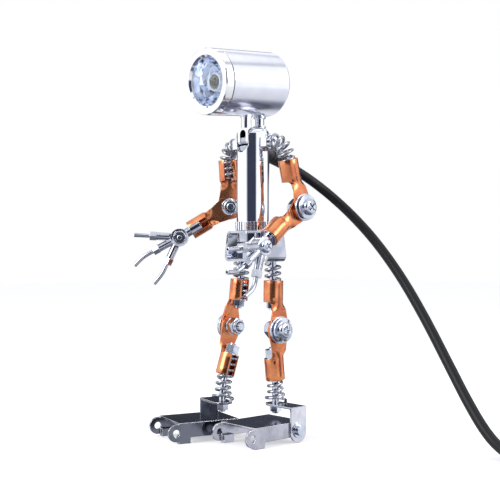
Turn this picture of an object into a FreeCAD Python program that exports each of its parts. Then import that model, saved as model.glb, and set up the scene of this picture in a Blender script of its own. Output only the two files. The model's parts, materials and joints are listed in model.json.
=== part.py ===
import FreeCAD, Part
import Sketcher

import os
import re
from math import cos, pi, radians, sin, sqrt, tan
from types import SimpleNamespace

# Robot shaped desk lamp made of hardware: an aluminium LED spotlight for a head, a chrome tube
# for a body, crimp lugs, bolts, springs and threaded rods for limbs, and channel steel for feet.
# Millimetres, +Z up. The robot faces -Y and its own left is +X. The body's axis stands at
# stand_x, stand_y, so that the origin lies under the middle of the lamp, on the table.

Vec = FreeCAD.Vector
doc = FreeCAD.newDocument("robot_lamp")

# Sizes
SIZES = {
    # stand and fits
    "stand_x": 16.13,
    "stand_y": 14.45,
    "running_gap": 0.05,
    "seat_gap": 0.2,
    "thread_gap": 0.02,
    # head
    "head_gap": 9.0,
    "head_nod": 4.5,
    "head_radius": 24.0,
    "head_length": 63.0,
    "neck_setback": 46.5,
    "housing_wall": 2.0,
    "housing_back": 3.0,
    "back_round": 2.4,
    "bezel_length": 7.0,
    "bezel_opening": 17.6,
    "bezel_lip": 3.0,
    "bezel_chamfer": 1.6,
    "bezel_edge": 0.8,
    "bezel_spigot": 5.0,
    "spigot_wall": 1.6,
    "gasket_thick": 0.8,
    "gasket_inset": 0.7,
    "glass_thick": 1.5,
    "reflector_depth": 15.0,
    "reflector_back": 9.4,
    "reflector_middle": 17.2,
    "reflector_middle_depth": 6.5,
    "reflector_rim": 1.2,
    "reflector_wall": 0.8,
    "lens_radius": 6.8,
    "lens_length": 13.0,
    "lens_dome": 2.4,
    "lens_front": 4.6,
    "board_radius": 20.0,
    "board_thick": 1.6,
    "sink_length": 13.0,
    "sink_wall": 3.0,
    "switch_bezel_radius": 8.5,
    "switch_bezel_height": 2.4,
    "button_radius": 5.6,
    "button_height": 3.2,
    "button_stem_radius": 2.5,
    "button_stem_length": 5.0,
    "button_travel": 1.5,
    # neck
    "post_spacing": 13.5,
    "post_radius": 3.7,
    "post_rise": 5.0,
    "post_collar_radius": 4.6,
    "post_collar_height": 1.5,
    "rear_post_radius": 3.4,
    "fork_width": 11.6,
    "fork_depth": 7.0,
    "fork_height": 9.0,
    "fork_gap": 6.4,
    "fork_gap_height": 4.5,
    "tongue_width": 5.8,
    "neck_pin_radius": 1.5,
    "pin_drop": 10.0,
    # torso
    "tube_radius": 12.25,
    "tube_wall": 1.75,
    "tube_bottom": 160.5,
    "tube_top": 231.0,
    "dome_round": 6.0,
    "dome_thick": 2.5,
    "dome_slope": 4.0,
    "notch_width": 13.0,
    "notch_drop": 19.0,
    "notch_back": 2.5,
    "block_drop": 6.8,
    "block_height": 11.0,
    "floor_drop": 14.2,
    "tongue_radius": 3.3,
    "wire_bore": 3.0,
    "wire_bore_back": 5.8,
    "ring_step": 1.25,
    "ring_height": 6.5,
    "knurl_count": 36,
    "knurl_depth": 0.5,
    "knurl_width": 1.1,
    "plug_length": 6.0,
    "stud_radius": 7.0,
    "locknut_radius": 12.0,
    "locknut_height": 6.5,
    # cable gland
    "gland_drop": 13.0,
    "gland_slope": 20.0,
    "gland_neck_length": 3.6,
    "gland_radius": 5.8,
    "gland_flange": 3.0,
    "gland_neck_radius": 4.8,
    "gland_tip_length": 22.0,
    "gland_tip_radius": 4.5,
    # shoulders and springs
    "shoulder_drop": 12.0,
    "shoulder_back": 1.5,
    "coupling_flats": 11.0,
    "coupling_gap": 0.15,
    "coupling_length": 6.4,
    "stub_radius": 2.5,
    "stub_end": 6.6,
    "spigot_radius": 3.8,
    "spigot_length": 3.0,
    "spring_lead": 0.4,
    "arm_bend": 11.0,
    "wire_radius": 1.1,
    "coil_radius": 5.2,
    "shoulder_pitch": 4.5,
    "leg_pitch": 4.5,
    # crimp lugs
    "barrel_radius": 8.0,
    "barrel_wall": 1.5,
    "barrel_length": 16.0,
    "barrel_slit": 7.0,
    "eye_radius": 9.3,
    "waist_half": 6.6,
    "lug_thick": 1.4,
    "lug_reach": 20.0,
    "shin_reach": 21.5,
    "reach_spare": 0.5,
    "middle_turn": 3.0,
    # bolt sets
    "bolt_radius": 3.0,
    "washer_radius": 10.0,
    "front_washer_radius": 9.2,
    "washer_thick": 1.5,
    "spacer_radius": 5.6,
    "spacer_thick": 1.5,
    "head_bolt_radius": 6.1,
    "head_bolt_height": 3.8,
    "small_washer_radius": 6.6,
    "small_washer_thick": 1.0,
    "nut_flats": 12.0,
    "nut_height": 6.0,
    "nut_collar": 2.2,
    "nut_collar_radius": 5.4,
    "bolt_end": 1.6,
    # arm pose and lengths
    "right_upper_arm": 46.0,
    "left_upper_arm": 50.0,
    "forearm_length": 46.0,
    "right_lean": -4.0,
    "left_lean": -14.0,
    "right_yaw": 38.0,
    "left_yaw": 4.0,
    "right_drop": 32.0,
    "left_drop": 38.0,
    # hand
    "wrist_thick": 4.0,
    "wrist_eye_radius": 6.2,
    "wrist_bolt_radius": 2.0,
    "wrist_washer_radius": 6.9,
    "wrist_washer_thick": 1.0,
    "wrist_head_radius": 5.0,
    "wrist_head_height": 3.0,
    "wrist_nut_flats": 10.0,
    "wrist_nut_height": 4.2,
    "shank_radius": 3.6,
    "shank_depth": 9.0,
    "socket_radius": 3.0,
    "socket_end": 18.0,
    "finger_spread": 34.0,
    "ferrule_flats": 6.6,
    "ferrule_length": 5.0,
    "finger_radius": 1.6,
    "finger_bore": 0.9,
    "finger_first": 13.5,
    "finger_second": 10.0,
    "thumb_first": 10.0,
    "thumb_second": 7.0,
    "right_curl_middle": 18.0,
    "right_curl_lower": -16.0,
    "left_curl_middle": -36.0,
    "left_curl_lower": -42.0,
    # pelvis
    "pelvis_height": 23.0,
    "pelvis_depth": 18.0,
    "pelvis_back": 2.0,
    "pelvis_top_width": 43.0,
    "pelvis_bottom_width": 50.0,
    "pelvis_wall": 1.8,
    "pelvis_round": 4.0,
    # hips, knees and ankles
    "hip_side": 17.5,
    "hip_back": 4.0,
    "rod_radius": 2.5,
    "hip_bend_length": 14.0,
    "rod_nut_flats": 8.0,
    "rod_nut_height": 4.5,
    "rod_end": 1.5,
    "seat_washer_thick": 1.0,
    "right_thigh_lean": 7.0,
    "left_thigh_lean": 1.0,
    "right_shin_lean": 19.0,
    "left_shin_lean": -6.0,
    "shin_nut_flats": 10.0,
    "shin_nut_height": 6.5,
    "cone_radius": 8.1,
    "cone_turns": 1.5,
    # feet
    "sheet_thick": 1.5,
    "foot_width": 37.5,
    "foot_outer": 22.9,
    "foot_toe": 41.0,
    "foot_heel": 6.5,
    "foot_top": 15.0,
    "wall_bottom": 4.3,
    "ear_radius": 6.35,
    "ear_forward": 2.2,
    "ear_hole": 2.6,
    "pad_length": 9.0,
    "pad_width": 4.5,
    "pad_back": 9.0,
    "bracket_width": 15.0,
    "bracket_top": 26.0,
    "bracket_screw_height": 9.2,
    "bracket_screw_radius": 2.0,
    "bracket_washer_radius": 5.8,
    "bracket_head_radius": 4.0,
    "bracket_head_height": 2.4,
    "bracket_nut_flats": 7.0,
    "bracket_nut_height": 2.25,
    "right_foot_yaw": 15.0,
    "left_foot_yaw": 0.0,
    # cord, coil and plug
    "cord_radius": 3.75,
    "coil_pitch": 8.0,
    "coil_inner_turn": 32.0,
    "coil_layer_turns": 2.537,
    "cord_straight": 14.0,
    "coil_lead": 6.0,
    "coil_tail": 26.0,
    "plug_radius": 11.6,
    "plug_back_radius": 8.0,
    "plug_body_length": 26.0,
    "plug_relief_length": 12.0,
    "plug_relief_radius": 4.6,
    "blade_width": 6.3,
    "blade_thick": 1.5,
    "blade_length": 17.0,
    "blade_spacing": 12.7,
}

# Heights and reaches that follow from the sizes above: the head, neck, shoulders and cord hang
# from the top of the tube, and what is fastened to the tube's side stands off its radius
FOLLOWING = {
    "head_axis_height": "=tube_top + head_gap + head_radius",
    "neck_pin_height": "=tube_top - pin_drop",
    "notch_bottom": "=tube_top - notch_drop",
    "block_top": "=tube_top - block_drop",
    "block_bottom": "=tube_top - block_drop - block_height",
    "block_floor": "=tube_top - floor_drop",
    "gland_height": "=tube_top - gland_drop",
    "shoulder_height": "=tube_top - shoulder_drop",
    "ring_radius": "=tube_radius + ring_step",
    "gland_seat": "=(tube_radius + running_gap) / cos(gland_slope)"
                  " + gland_radius * tan(gland_slope)",
    "gland_start": "=gland_seat - gland_neck_length",
    "coupling_start": "=tube_radius + coupling_gap",
    "coupling_end": "=coupling_start + coupling_length",
    "arm_side": "=coupling_end + seat_gap + wire_radius + arm_bend + spring_lead",
}

sheet = doc.addObject("Spreadsheet::Sheet", "Sizes")
for row, (alias, value) in enumerate({**SIZES, **FOLLOWING}.items(), 1):
    sheet.set(f"A{row}", alias)
    sheet.set(f"B{row}", str(value))
    sheet.setAlias(f"B{row}", alias)
doc.recompute()
size = SimpleNamespace(**{alias: float(sheet.get(alias)) for alias in (*SIZES, *FOLLOWING)})

nodes = {}


# Building blocks
def bound(formula):
    """Point every size named in a formula at its cell of the sheet."""
    return re.sub(r"[a-z]+(_[a-z]+)+", lambda word: f"Sizes.{word.group()}", str(formula))


def at(x=0.0, y=0.0, z=0.0, axis=(0, 0, 1), turn=0.0):
    """A place: a shift, after a turn about an axis."""
    return FreeCAD.Placement(Vec(x, y, z), FreeCAD.Rotation(Vec(*axis), turn))


def keep(name, piece):
    """Name a finished sub-part, which is also its file's name."""
    piece.Label = name
    nodes[name] = piece
    return piece


def primitive(kind, place, **formulas):
    piece = doc.addObject(kind, kind.split("::")[1])
    for key, formula in formulas.items():
        piece.setExpression(key, bound(formula))
    piece.Placement = place
    return piece


def rod(radius, length, place):
    return primitive("Part::Cylinder", place, Radius=radius, Height=length)


def block(length, width, height, place):
    return primitive("Part::Box", place, Length=length, Width=width, Height=height)


def hexagon(flats, length, place):
    piece = primitive("Part::Prism", place, Circumradius=f"({flats}) / sqrt(3)", Height=length)
    piece.Polygon = 6
    return piece


def cone(first, last, length, place):
    return primitive("Part::Cone", place, Radius1=first, Radius2=last, Height=length)


def joined(*pieces):
    whole = doc.addObject("Part::MultiFuse", "Joined")
    whole.Shapes = list(pieces)
    whole.Refine = True
    return whole


def cut(base, *tools):
    rest = doc.addObject("Part::Cut", "Rest")
    rest.Base = base
    rest.Tool = tools[0] if len(tools) == 1 else joined(*tools)
    return rest


def group(*pieces):
    """Several separate pieces of one kind, in one node."""
    several = doc.addObject("Part::Compound", "Group")
    several.Links = list(pieces)
    return several


def solid(shape, name="Shape"):
    piece = doc.addObject("Part::Feature", name)
    piece.Shape = shape
    return piece


def washer(radius, bore, thick, place):
    return cut(rod(radius, thick, place), rod(bore, thick, place))


def outlined(body, role, points):
    """A sketch on a body's own plane whose corners are bound to formulas."""
    plane = next(item for item in body.Origin.OriginFeatures if item.Role == role)
    sketch = body.newObject("Sketcher::SketchObject", "Outline")
    sketch.AttachmentSupport = (plane, [""])
    sketch.MapMode = "FlatFace"
    count = len(points)
    for index in range(count):
        sketch.addGeometry(Part.LineSegment(Vec(index, index * index, 0), Vec(index + 1, 0, 0)), False)
    sketch.deleteAllConstraints()
    for index in range(count):
        sketch.addConstraint(Sketcher.Constraint("Coincident", index, 2, (index + 1) % count, 1))
    for index, (across, along) in enumerate(points):
        for kind, axis, formula in (("DistanceX", -2, across), ("DistanceY", -1, along)):
            if formula == "0":
                sketch.addConstraint(Sketcher.Constraint("PointOnObject", index, 1, axis))
            else:
                number = sketch.addConstraint(Sketcher.Constraint(kind, -1, 1, index, 1, 1.0))
                sketch.setExpression(f"Constraints[{number}]", bound(formula))
    return sketch


def turned(name, points):
    """A body turned about its own Z from an outline of (radius, height) corners."""
    body = doc.addObject("PartDesign::Body", name)
    sketch = outlined(body, "XZ_Plane", points)
    turn = body.newObject("PartDesign::Revolution", "Turn")
    turn.Profile = sketch
    turn.ReferenceAxis = (sketch, ["V_Axis"])
    turn.Angle = 360
    doc.recompute()
    return body


def plate(name, role, points, thick, both_ways=False):
    """A body padded from an outline on one of its own planes."""
    body = doc.addObject("PartDesign::Body", name)
    sketch = outlined(body, role, points)
    pad = body.newObject("PartDesign::Pad", "Pad")
    pad.Profile = sketch
    pad.setExpression("Length", bound(thick))
    pad.Midplane = both_ways
    doc.recompute()
    return body


def rounded(body, radius, chosen):
    """Round the edges of a body that a test on each edge picks."""
    doc.recompute()
    edges = [f"Edge{i}" for i, edge in enumerate(body.Shape.Edges, 1) if chosen(edge)]
    before = body.Tip
    fillet = body.newObject("PartDesign::Fillet", "Round")
    fillet.Base = (before, edges)
    fillet.setExpression("Radius", bound(radius))
    body.Tip = fillet
    doc.recompute()
    return body


def circle_at(radius, height):
    """A test for a full circle of this radius, at this height, about a body's own Z."""
    def test(edge):
        curve = edge.Curve
        return (isinstance(curve, Part.Circle) and abs(curve.Radius - radius) < 0.01
                and abs(curve.Center.z - height) < 0.01)
    return test


# Paths for springs, bent rods and the cord
def arc_from(start, tangent, end):
    """The arc that leaves start along tangent and ends at end."""
    reach = (end - start).Length
    chord = (end - start).normalize()
    side = tangent - chord * tangent.dot(chord)
    if side.Length < 1e-6:
        return Part.LineSegment(start, end)
    half_turn = tangent.getAngle(chord)
    middle = (start + end) * 0.5 + side.normalize() * (reach / 2 * tan(half_turn / 2))
    return Part.Arc(start, middle, end)


def biarc(first, first_way, last, last_way):
    """Two arcs that join two points and share a tangent where they meet."""
    gap = last - first
    ways = first_way + last_way
    spread = 2 * (1 - first_way.dot(last_way))
    reach = gap.dot(ways)
    if spread < 1e-9:
        length = gap.dot(gap) / (2 * reach)
    else:
        length = (-reach + sqrt(reach * reach + spread * gap.dot(gap))) / spread
    middle = (first + last + (first_way - last_way) * length) * 0.5
    return [arc_from(first, first_way, middle), arc_from(last, last_way * -1, middle)]


class Path:
    """A centre line in one plane: straight runs and arcs, with a place for each length along it."""

    def __init__(self, start, way, bend_way):
        self.pieces = []
        self.point, self.way, self.bend_way = start, way, bend_way
        self.length = 0.0

    def run(self, length):
        self.pieces.append((self.length, length, self.point, self.way, self.bend_way, 0.0))
        self.point = self.point + self.way * length
        self.length += length
        return self

    def bend(self, radius, angle):
        """Turn towards bend_way, or away from it where the angle is negative."""
        if abs(angle) < 1e-6:
            return self
        side = self.bend_way if angle > 0 else self.bend_way * -1
        turn = abs(angle)
        self.pieces.append((self.length, radius * turn, self.point, self.way, side, 1 / radius))
        start, way = self.point, self.way
        self.point = start + way * (radius * sin(turn)) + side * (radius * (1 - cos(turn)))
        self.way = way * cos(turn) + side * sin(turn)
        turned_side = side * cos(turn) - way * sin(turn)
        self.bend_way = turned_side if angle > 0 else turned_side * -1
        self.length += radius * turn
        return self

    def place(self, distance):
        """The point, the way on and one side, this far along."""
        chosen = self.pieces[0]
        for piece in self.pieces:
            if distance >= piece[0] - 1e-9:
                chosen = piece
        begin, _, point, way, side, curve = chosen
        along = distance - begin
        if curve == 0:
            return point + way * along, way, side
        turn = along * curve
        spot = point + way * (sin(turn) / curve) + side * ((1 - cos(turn)) / curve)
        return spot, way * cos(turn) + side * sin(turn), side * cos(turn) - way * sin(turn)


def swept(edges, start, way, radius):
    """A round bar along joined edges."""
    ring = Part.Wire([Part.Circle(start, way, radius).toShape()])
    return Part.Wire(edges).makePipeShell([ring], True, False)


def wound(name, path, begin, end, pitch, radii):
    """A coil spring about a path, one unbroken wire; radii gives its radius at each length."""
    reference = path.place(begin)[1].cross(path.place(begin)[2])

    def point_at(distance):
        spot, way, side = path.place(distance)
        other = way.cross(side)
        if other.dot(reference) < 0:
            side, other = side * -1, other * -1
        turn = 2 * pi * (distance - begin) / pitch
        return spot + (side * cos(turn) + other * sin(turn)) * radii(distance)

    def way_at(distance):
        step = 1e-4
        return (point_at(distance + step) - point_at(distance - step)).normalize()

    quarters = max(4, round(4 * (end - begin) / pitch))
    stops = [begin + (end - begin) * i / quarters for i in range(quarters + 1)]
    edges = []
    for first, last in zip(stops, stops[1:]):
        arcs = biarc(point_at(first), way_at(first), point_at(last), way_at(last))
        edges += [arc.toShape() for arc in arcs]
    shape = swept(edges, point_at(begin), way_at(begin), size.wire_radius)
    samples = [begin + (end - begin) * i / (quarters * 10) for i in range(quarters * 10 + 1)]
    points = [point_at(distance) for distance in samples]
    near = pitch / 2
    least = min((points[i] - points[j]).Length
                for i in range(0, len(points), 2) for j in range(i, len(points))
                if samples[j] - samples[i] > near)
    print(f"{name}: {quarters / 4:g} turns, least gap to itself {least - 2 * size.wire_radius:.2f} mm")
    return solid(shape, "Spring")


def tube_route(points):
    """Edges of straight runs joined by tangent arcs, and the arcs' radii."""
    share = 0.45
    edges, radii = [], []
    here = points[0]
    for before, corner, after in zip(points, points[1:], points[2:]):
        entry, leave = (corner - before), (after - corner)
        shorter = min(entry.Length, leave.Length)
        entry, leave = entry.normalize(), leave.normalize()
        turn = entry.getAngle(leave)
        radius = share * shorter / tan(turn / 2)
        first, last = corner - entry * (share * shorter), corner + leave * (share * shorter)
        edges.append(Part.LineSegment(here, first).toShape())
        edges.append(arc_from(first, entry, last).toShape())
        here = last
        radii.append(radius)
    edges.append(Part.LineSegment(here, points[-1]).toShape())
    return edges, radii


stand = at(size.stand_x, size.stand_y)
LEFT, RIGHT = 1, -1
SIDES = {"left": LEFT, "right": RIGHT}


# Head: local Z runs from the front face to the back, local -Y is up
head = (stand * at(0, 0, size.head_axis_height, (1, 0, 0), size.head_nod)
        * at(0, -size.neck_setback, 0, (1, 0, 0), -90))
post_front, post_back = -size.post_spacing / 2, size.post_spacing / 2

housing = turned("Housing", [
    ("head_radius - housing_wall", "bezel_length + gasket_thick"),
    ("head_radius", "bezel_length + gasket_thick"),
    ("head_radius", "head_length"),
    ("0", "head_length"),
    ("0", "head_length - housing_back"),
    ("head_radius - housing_wall", "head_length - housing_back"),
])
rounded(housing, "back_round", circle_at(size.head_radius, size.head_length))
housing.Placement = head
underside = size.head_axis_height - size.head_radius
keep("lamp_housing", cut(
    housing,
    rod("post_radius + thread_gap", "post_rise + post_collar_height + post_rise",
        stand * at(0, post_front, underside - size.post_collar_height)),
    rod("post_collar_radius + running_gap", "post_collar_height + running_gap",
        stand * at(0, post_front, underside - size.post_collar_height)),
    rod("rear_post_radius + thread_gap", "post_rise + post_collar_height + post_rise",
        stand * at(0, post_back, underside - size.post_collar_height)),
    rod("button_stem_radius + running_gap", "housing_back * 3",
        head * at(0, 0, size.head_length - 2 * size.housing_back)),
))

bezel = turned("Bezel", [
    ("bezel_opening + bezel_chamfer", "0"),
    ("head_radius - bezel_edge", "0"),
    ("head_radius", "bezel_edge"),
    ("head_radius", "bezel_length"),
    ("head_radius - housing_wall - running_gap", "bezel_length"),
    ("head_radius - housing_wall - running_gap", "bezel_length + bezel_spigot"),
    ("head_radius - housing_wall - running_gap - spigot_wall", "bezel_length + bezel_spigot"),
    ("head_radius - housing_wall - running_gap - spigot_wall", "bezel_lip"),
    ("bezel_opening", "bezel_lip"),
    ("bezel_opening", "bezel_chamfer"),
])
bezel.Placement = head
keep("front_bezel", bezel)

keep("bezel_gasket", washer("head_radius - gasket_inset", "head_radius - housing_wall",
                            "gasket_thick", head * at(0, 0, size.bezel_length)))

glass_radius = "head_radius - housing_wall - 2 * running_gap - spigot_wall"
keep("cover_glass", rod(glass_radius, "glass_thick", head * at(0, 0, size.bezel_lip)))

reflector_front = size.bezel_lip + size.glass_thick
reflector = turned("Reflector", [
    (glass_radius, "bezel_lip + glass_thick"),
    (glass_radius, "bezel_lip + glass_thick + reflector_wall"),
    ("reflector_middle + reflector_wall", "bezel_lip + glass_thick + reflector_middle_depth"),
    ("reflector_back + reflector_wall", "bezel_lip + glass_thick + reflector_depth"),
    ("reflector_back", "bezel_lip + glass_thick + reflector_depth"),
    ("reflector_middle", "bezel_lip + glass_thick + reflector_middle_depth"),
    (glass_radius + " - reflector_rim", "bezel_lip + glass_thick"),
])
reflector.Placement = head
keep("reflector", reflector)

board_front = reflector_front + size.reflector_depth
keep("led_lens", joined(
    rod("lens_radius", "lens_length - lens_dome",
        head * at(0, 0, board_front - size.lens_length + size.lens_dome)),
    cone("lens_front", "lens_radius", "lens_dome", head * at(0, 0, board_front - size.lens_length)),
))
keep("led_board", rod("board_radius", "board_thick", head * at(0, 0, board_front)))
sink_front = board_front + size.board_thick
keep("heat_sink", cut(
    rod("head_radius - housing_wall - running_gap", "sink_length", head * at(0, 0, sink_front)),
    rod("head_radius - housing_wall - sink_wall", "sink_length",
        head * at(0, 0, sink_front + size.sink_wall)),
))

# Push switch in the middle of the back
keep("switch_bezel", washer("switch_bezel_radius", "button_radius + running_gap",
                            "switch_bezel_height", head * at(0, 0, size.head_length)))
button_seat = size.head_length + size.button_travel + size.seat_gap
stem_end = button_seat - size.button_stem_length - size.housing_back
keep("switch_button", joined(
    rod("button_radius", "button_height", head * at(0, 0, button_seat)),
    rod("button_stem_radius", "button_stem_length + housing_back", head * at(0, 0, stem_end)),
))

# Neck: a forked post on a pin, so that the head nods, and a second post behind it
fork_top = size.neck_pin_height + size.fork_height
fork_front = post_front - size.fork_depth / 2
pin = stand * at(-size.fork_width / 2, post_front, size.neck_pin_height, (0, 1, 0), 90)
neck_post = joined(
    rod("post_radius", "head_axis_height - head_radius + post_rise - neck_pin_height - fork_height",
        stand * at(0, post_front, fork_top)),
    rod("post_collar_radius", "post_collar_height",
        stand * at(0, post_front, underside - size.post_collar_height)),
    block("fork_width", "fork_depth", "fork_height",
          stand * at(-size.fork_width / 2, fork_front, size.neck_pin_height)),
    rod("fork_depth / 2", "fork_width", pin),
)
gap_top = size.neck_pin_height + size.fork_gap_height
keep("neck_post", cut(
    neck_post,
    block("fork_gap", "fork_depth * 2", "fork_gap_height + fork_depth",
          stand * at(-size.fork_gap / 2, fork_front - size.fork_depth / 2, gap_top
                     - size.fork_gap_height - size.fork_depth)),
    rod("fork_gap / 2", "fork_depth * 2",
        stand * at(0, fork_front - size.fork_depth / 2, gap_top, (1, 0, 0), -90)),
    rod("neck_pin_radius + thread_gap", "fork_width", pin),
))
keep("neck_pin", rod("neck_pin_radius", "fork_width", pin))
post_foot = size.tube_top + size.seat_gap
keep("rear_post", joined(
    rod("rear_post_radius", "head_axis_height - head_radius + post_rise - tube_top - seat_gap",
        stand * at(0, post_back, post_foot)),
    rod("post_collar_radius", "post_collar_height", stand * at(0, post_back, post_foot)),
    rod("post_collar_radius", "post_collar_height",
        stand * at(0, post_back, underside - size.post_collar_height)),
))

# Torso: a chrome tube with a domed top and a notch in front for the nodding post
tube = turned("Tube", [
    ("tube_radius - tube_wall", "tube_bottom"),
    ("tube_radius", "tube_bottom"),
    ("tube_radius", "tube_top"),
    ("0", "tube_top"),
    ("0", "tube_top - dome_thick"),
    ("tube_radius - tube_wall - dome_slope", "tube_top - dome_thick"),
    ("tube_radius - tube_wall", "tube_top - dome_thick - dome_slope"),
])
rounded(tube, "dome_round", circle_at(size.tube_radius, size.tube_top))
tube.Placement = stand
notch_front = -size.tube_radius - 1
notch_turn = size.notch_bottom + size.notch_width / 2
shoulder_line = stand * at(0, size.shoulder_back, size.shoulder_height)
gland = stand * at(0, 0, size.gland_height, (1, 0, 0), -90 - size.gland_slope)
keep("torso_tube", cut(
    tube,
    block("notch_width", "tube_radius + 1 - notch_back", "tube_top - notch_bottom",
          stand * at(-size.notch_width / 2, notch_front, notch_turn)),
    rod("notch_width / 2", "tube_radius + 1 - notch_back",
        stand * at(0, notch_front, notch_turn, (1, 0, 0), -90)),
    rod("stub_radius + thread_gap", "tube_radius * 3",
        shoulder_line * at(-1.5 * size.tube_radius, 0, 0, (0, 1, 0), 90)),
    rod("gland_neck_radius + thread_gap", "gland_seat", gland * at(0, 0, size.gland_seat / 2)),
))

block_front = post_front + size.fork_depth / 2 + 2 * size.seat_gap
keep("neck_block", cut(
    joined(
        cut(rod("tube_radius - tube_wall - thread_gap", "block_top - block_bottom",
                stand * at(0, 0, size.block_bottom)),
            block("tube_radius * 2", "tube_radius", "tube_top - block_floor",
                  stand * at(-size.tube_radius, block_front - size.tube_radius,
                             size.block_floor))),
        block("tongue_width", "post_spacing / 2", "tongue_radius * 2",
              stand * at(-size.tongue_width / 2, post_front,
                         size.neck_pin_height - size.tongue_radius)),
        rod("tongue_radius", "tongue_width", pin * at(0, 0, (size.fork_width
                                                              - size.tongue_width) / 2)),
    ),
    rod("neck_pin_radius + running_gap", "fork_width", pin),
    rod("wire_bore", "tube_top", stand * at(0, size.wire_bore_back, size.tube_bottom)),
    rod("stub_radius + thread_gap", "tube_radius",
        shoulder_line * at(size.stub_end, 0, 0, (0, 1, 0), 90)),
    rod("stub_radius + thread_gap", "tube_radius",
        shoulder_line * at(-size.stub_end, 0, 0, (0, 1, 0), -90)),
))

couplings = []
for side in SIDES.values():
    out = shoulder_line * at(0, 0, 0, (0, 1, 0), 90 * side)
    couplings.append(joined(
        rod("stub_radius", "coupling_end - stub_end", out * at(z=size.stub_end)),
        hexagon("coupling_flats", "coupling_end - coupling_start", out * at(z=size.coupling_start)),
        rod("spigot_radius", "spigot_length", out * at(z=size.coupling_end)),
    ))
keep("shoulder_couplings", group(*couplings))

pelvis_top = size.tube_bottom - size.ring_height - size.running_gap
pelvis_bottom = pelvis_top - size.pelvis_height
ring = turned("Ring", [
    ("0", "tube_bottom + plug_length"),
    ("tube_radius - tube_wall - thread_gap", "tube_bottom + plug_length"),
    ("tube_radius - tube_wall - thread_gap", "tube_bottom"),
    ("ring_radius", "tube_bottom"),
    ("ring_radius", "tube_bottom - ring_height"),
    ("stud_radius", "tube_bottom - ring_height"),
    ("stud_radius", "tube_bottom - ring_height - pelvis_wall - locknut_height"),
    ("0", "tube_bottom - ring_height - pelvis_wall - locknut_height"),
])
groove = ring.newObject("PartDesign::Pocket", "Groove")
groove.Profile = outlined(ring, "XY_Plane", [
    ("ring_radius - knurl_depth", "0"),
    ("ring_radius + knurl_depth", "-knurl_width"),
    ("ring_radius + knurl_depth", "knurl_width"),
])
groove.Type = 1
groove.Midplane = True
knurl = ring.newObject("PartDesign::PolarPattern", "Knurl")
knurl.Originals = [groove]
knurl.Axis = (next(item for item in ring.Origin.OriginFeatures if item.Role == "Z_Axis"), [""])
knurl.Angle = 360
knurl.setExpression("Occurrences", bound("knurl_count"))
ring.Tip = knurl
ring.Placement = stand
keep("knurled_ring", ring)

locknut_top = pelvis_top - size.pelvis_wall - size.running_gap
keep("waist_locknut", washer("locknut_radius", "stud_radius + thread_gap", "locknut_height",
                             stand * at(z=locknut_top - size.locknut_height)))

keep("cable_gland", joined(
    rod("gland_neck_radius", "gland_seat - gland_start", gland * at(z=size.gland_start)),
    rod("gland_radius", "gland_flange", gland * at(z=size.gland_seat)),
    cone("gland_radius", "gland_tip_radius", "gland_tip_length",
         gland * at(z=size.gland_seat + size.gland_flange)),
))

# Pelvis: a flat bar bent to a loop, open from front to back, wider at the hips
def loop_outline(inset):
    top, bottom = f"pelvis_top_width / 2 - {inset}", f"pelvis_bottom_width / 2 - {inset}"
    high, low = f"pelvis_height - {inset}", inset
    return [(f"-({top})", high), (f"-({bottom})", low), (bottom, low), (top, high)]


PARALLEL = 0.99


def along_depth(edge):
    return edge.Length > 0 and abs(edge.tangentAt(edge.FirstParameter).y) > PARALLEL


outer_loop = plate("LoopOutside", "XZ_Plane", loop_outline("0"), "pelvis_depth", True)
rounded(outer_loop, "pelvis_round", along_depth)
inner_loop = plate("LoopInside", "XZ_Plane", loop_outline("pelvis_wall"), "pelvis_depth * 2", True)
rounded(inner_loop, "pelvis_round - pelvis_wall", along_depth)
pelvis = stand * at(0, size.pelvis_back, pelvis_bottom)
outer_loop.Placement = inner_loop.Placement = pelvis
hip_holes = [rod("rod_radius + running_gap", "pelvis_wall * 3",
                 stand * at(side * size.hip_side, size.hip_back, pelvis_bottom - size.pelvis_wall))
             for side in SIDES.values()]
keep("pelvis_frame", cut(
    outer_loop,
    inner_loop,
    rod("stud_radius + running_gap", "pelvis_wall * 3",
        stand * at(z=pelvis_top - 2 * size.pelvis_wall)),
    *hip_holes,
))


# Crimp lugs and bolt sets. A lug's frame has its bolt hole at the origin, on the tongue's outer
# face, +X out of that face and +Z towards the barrel
def crimp_lug(name, reach, place):
    tongue = plate("Tongue", "YZ_Plane", [
        ("-eye_radius", "0"),
        ("eye_radius", "0"),
        ("waist_half", f"{reach} + lug_thick"),
        ("-waist_half", f"{reach} + lug_thick"),
    ], "lug_thick")
    tongue.Placement = place * at(-size.lug_thick)
    start = getattr(size, reach)
    barrel = place * at(-size.barrel_radius, 0, start)
    across = place * at(-size.lug_thick, 0, 0, (0, 1, 0), 90)
    return keep(name, cut(
        joined(tongue, rod("eye_radius", "lug_thick", across),
               rod("barrel_radius", "barrel_length", barrel)),
        rod("barrel_radius - barrel_wall", "barrel_length + reach_spare", barrel
            * at(z=-size.reach_spare / 2)),
        block("barrel_radius * 2", "barrel_slit", "barrel_length + reach_spare",
              barrel * at(-2 * size.barrel_radius, -size.barrel_slit / 2, -size.reach_spare / 2)),
        rod("bolt_radius + running_gap", "lug_thick * 3", across * at(z=-size.lug_thick)),
    ))


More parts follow.
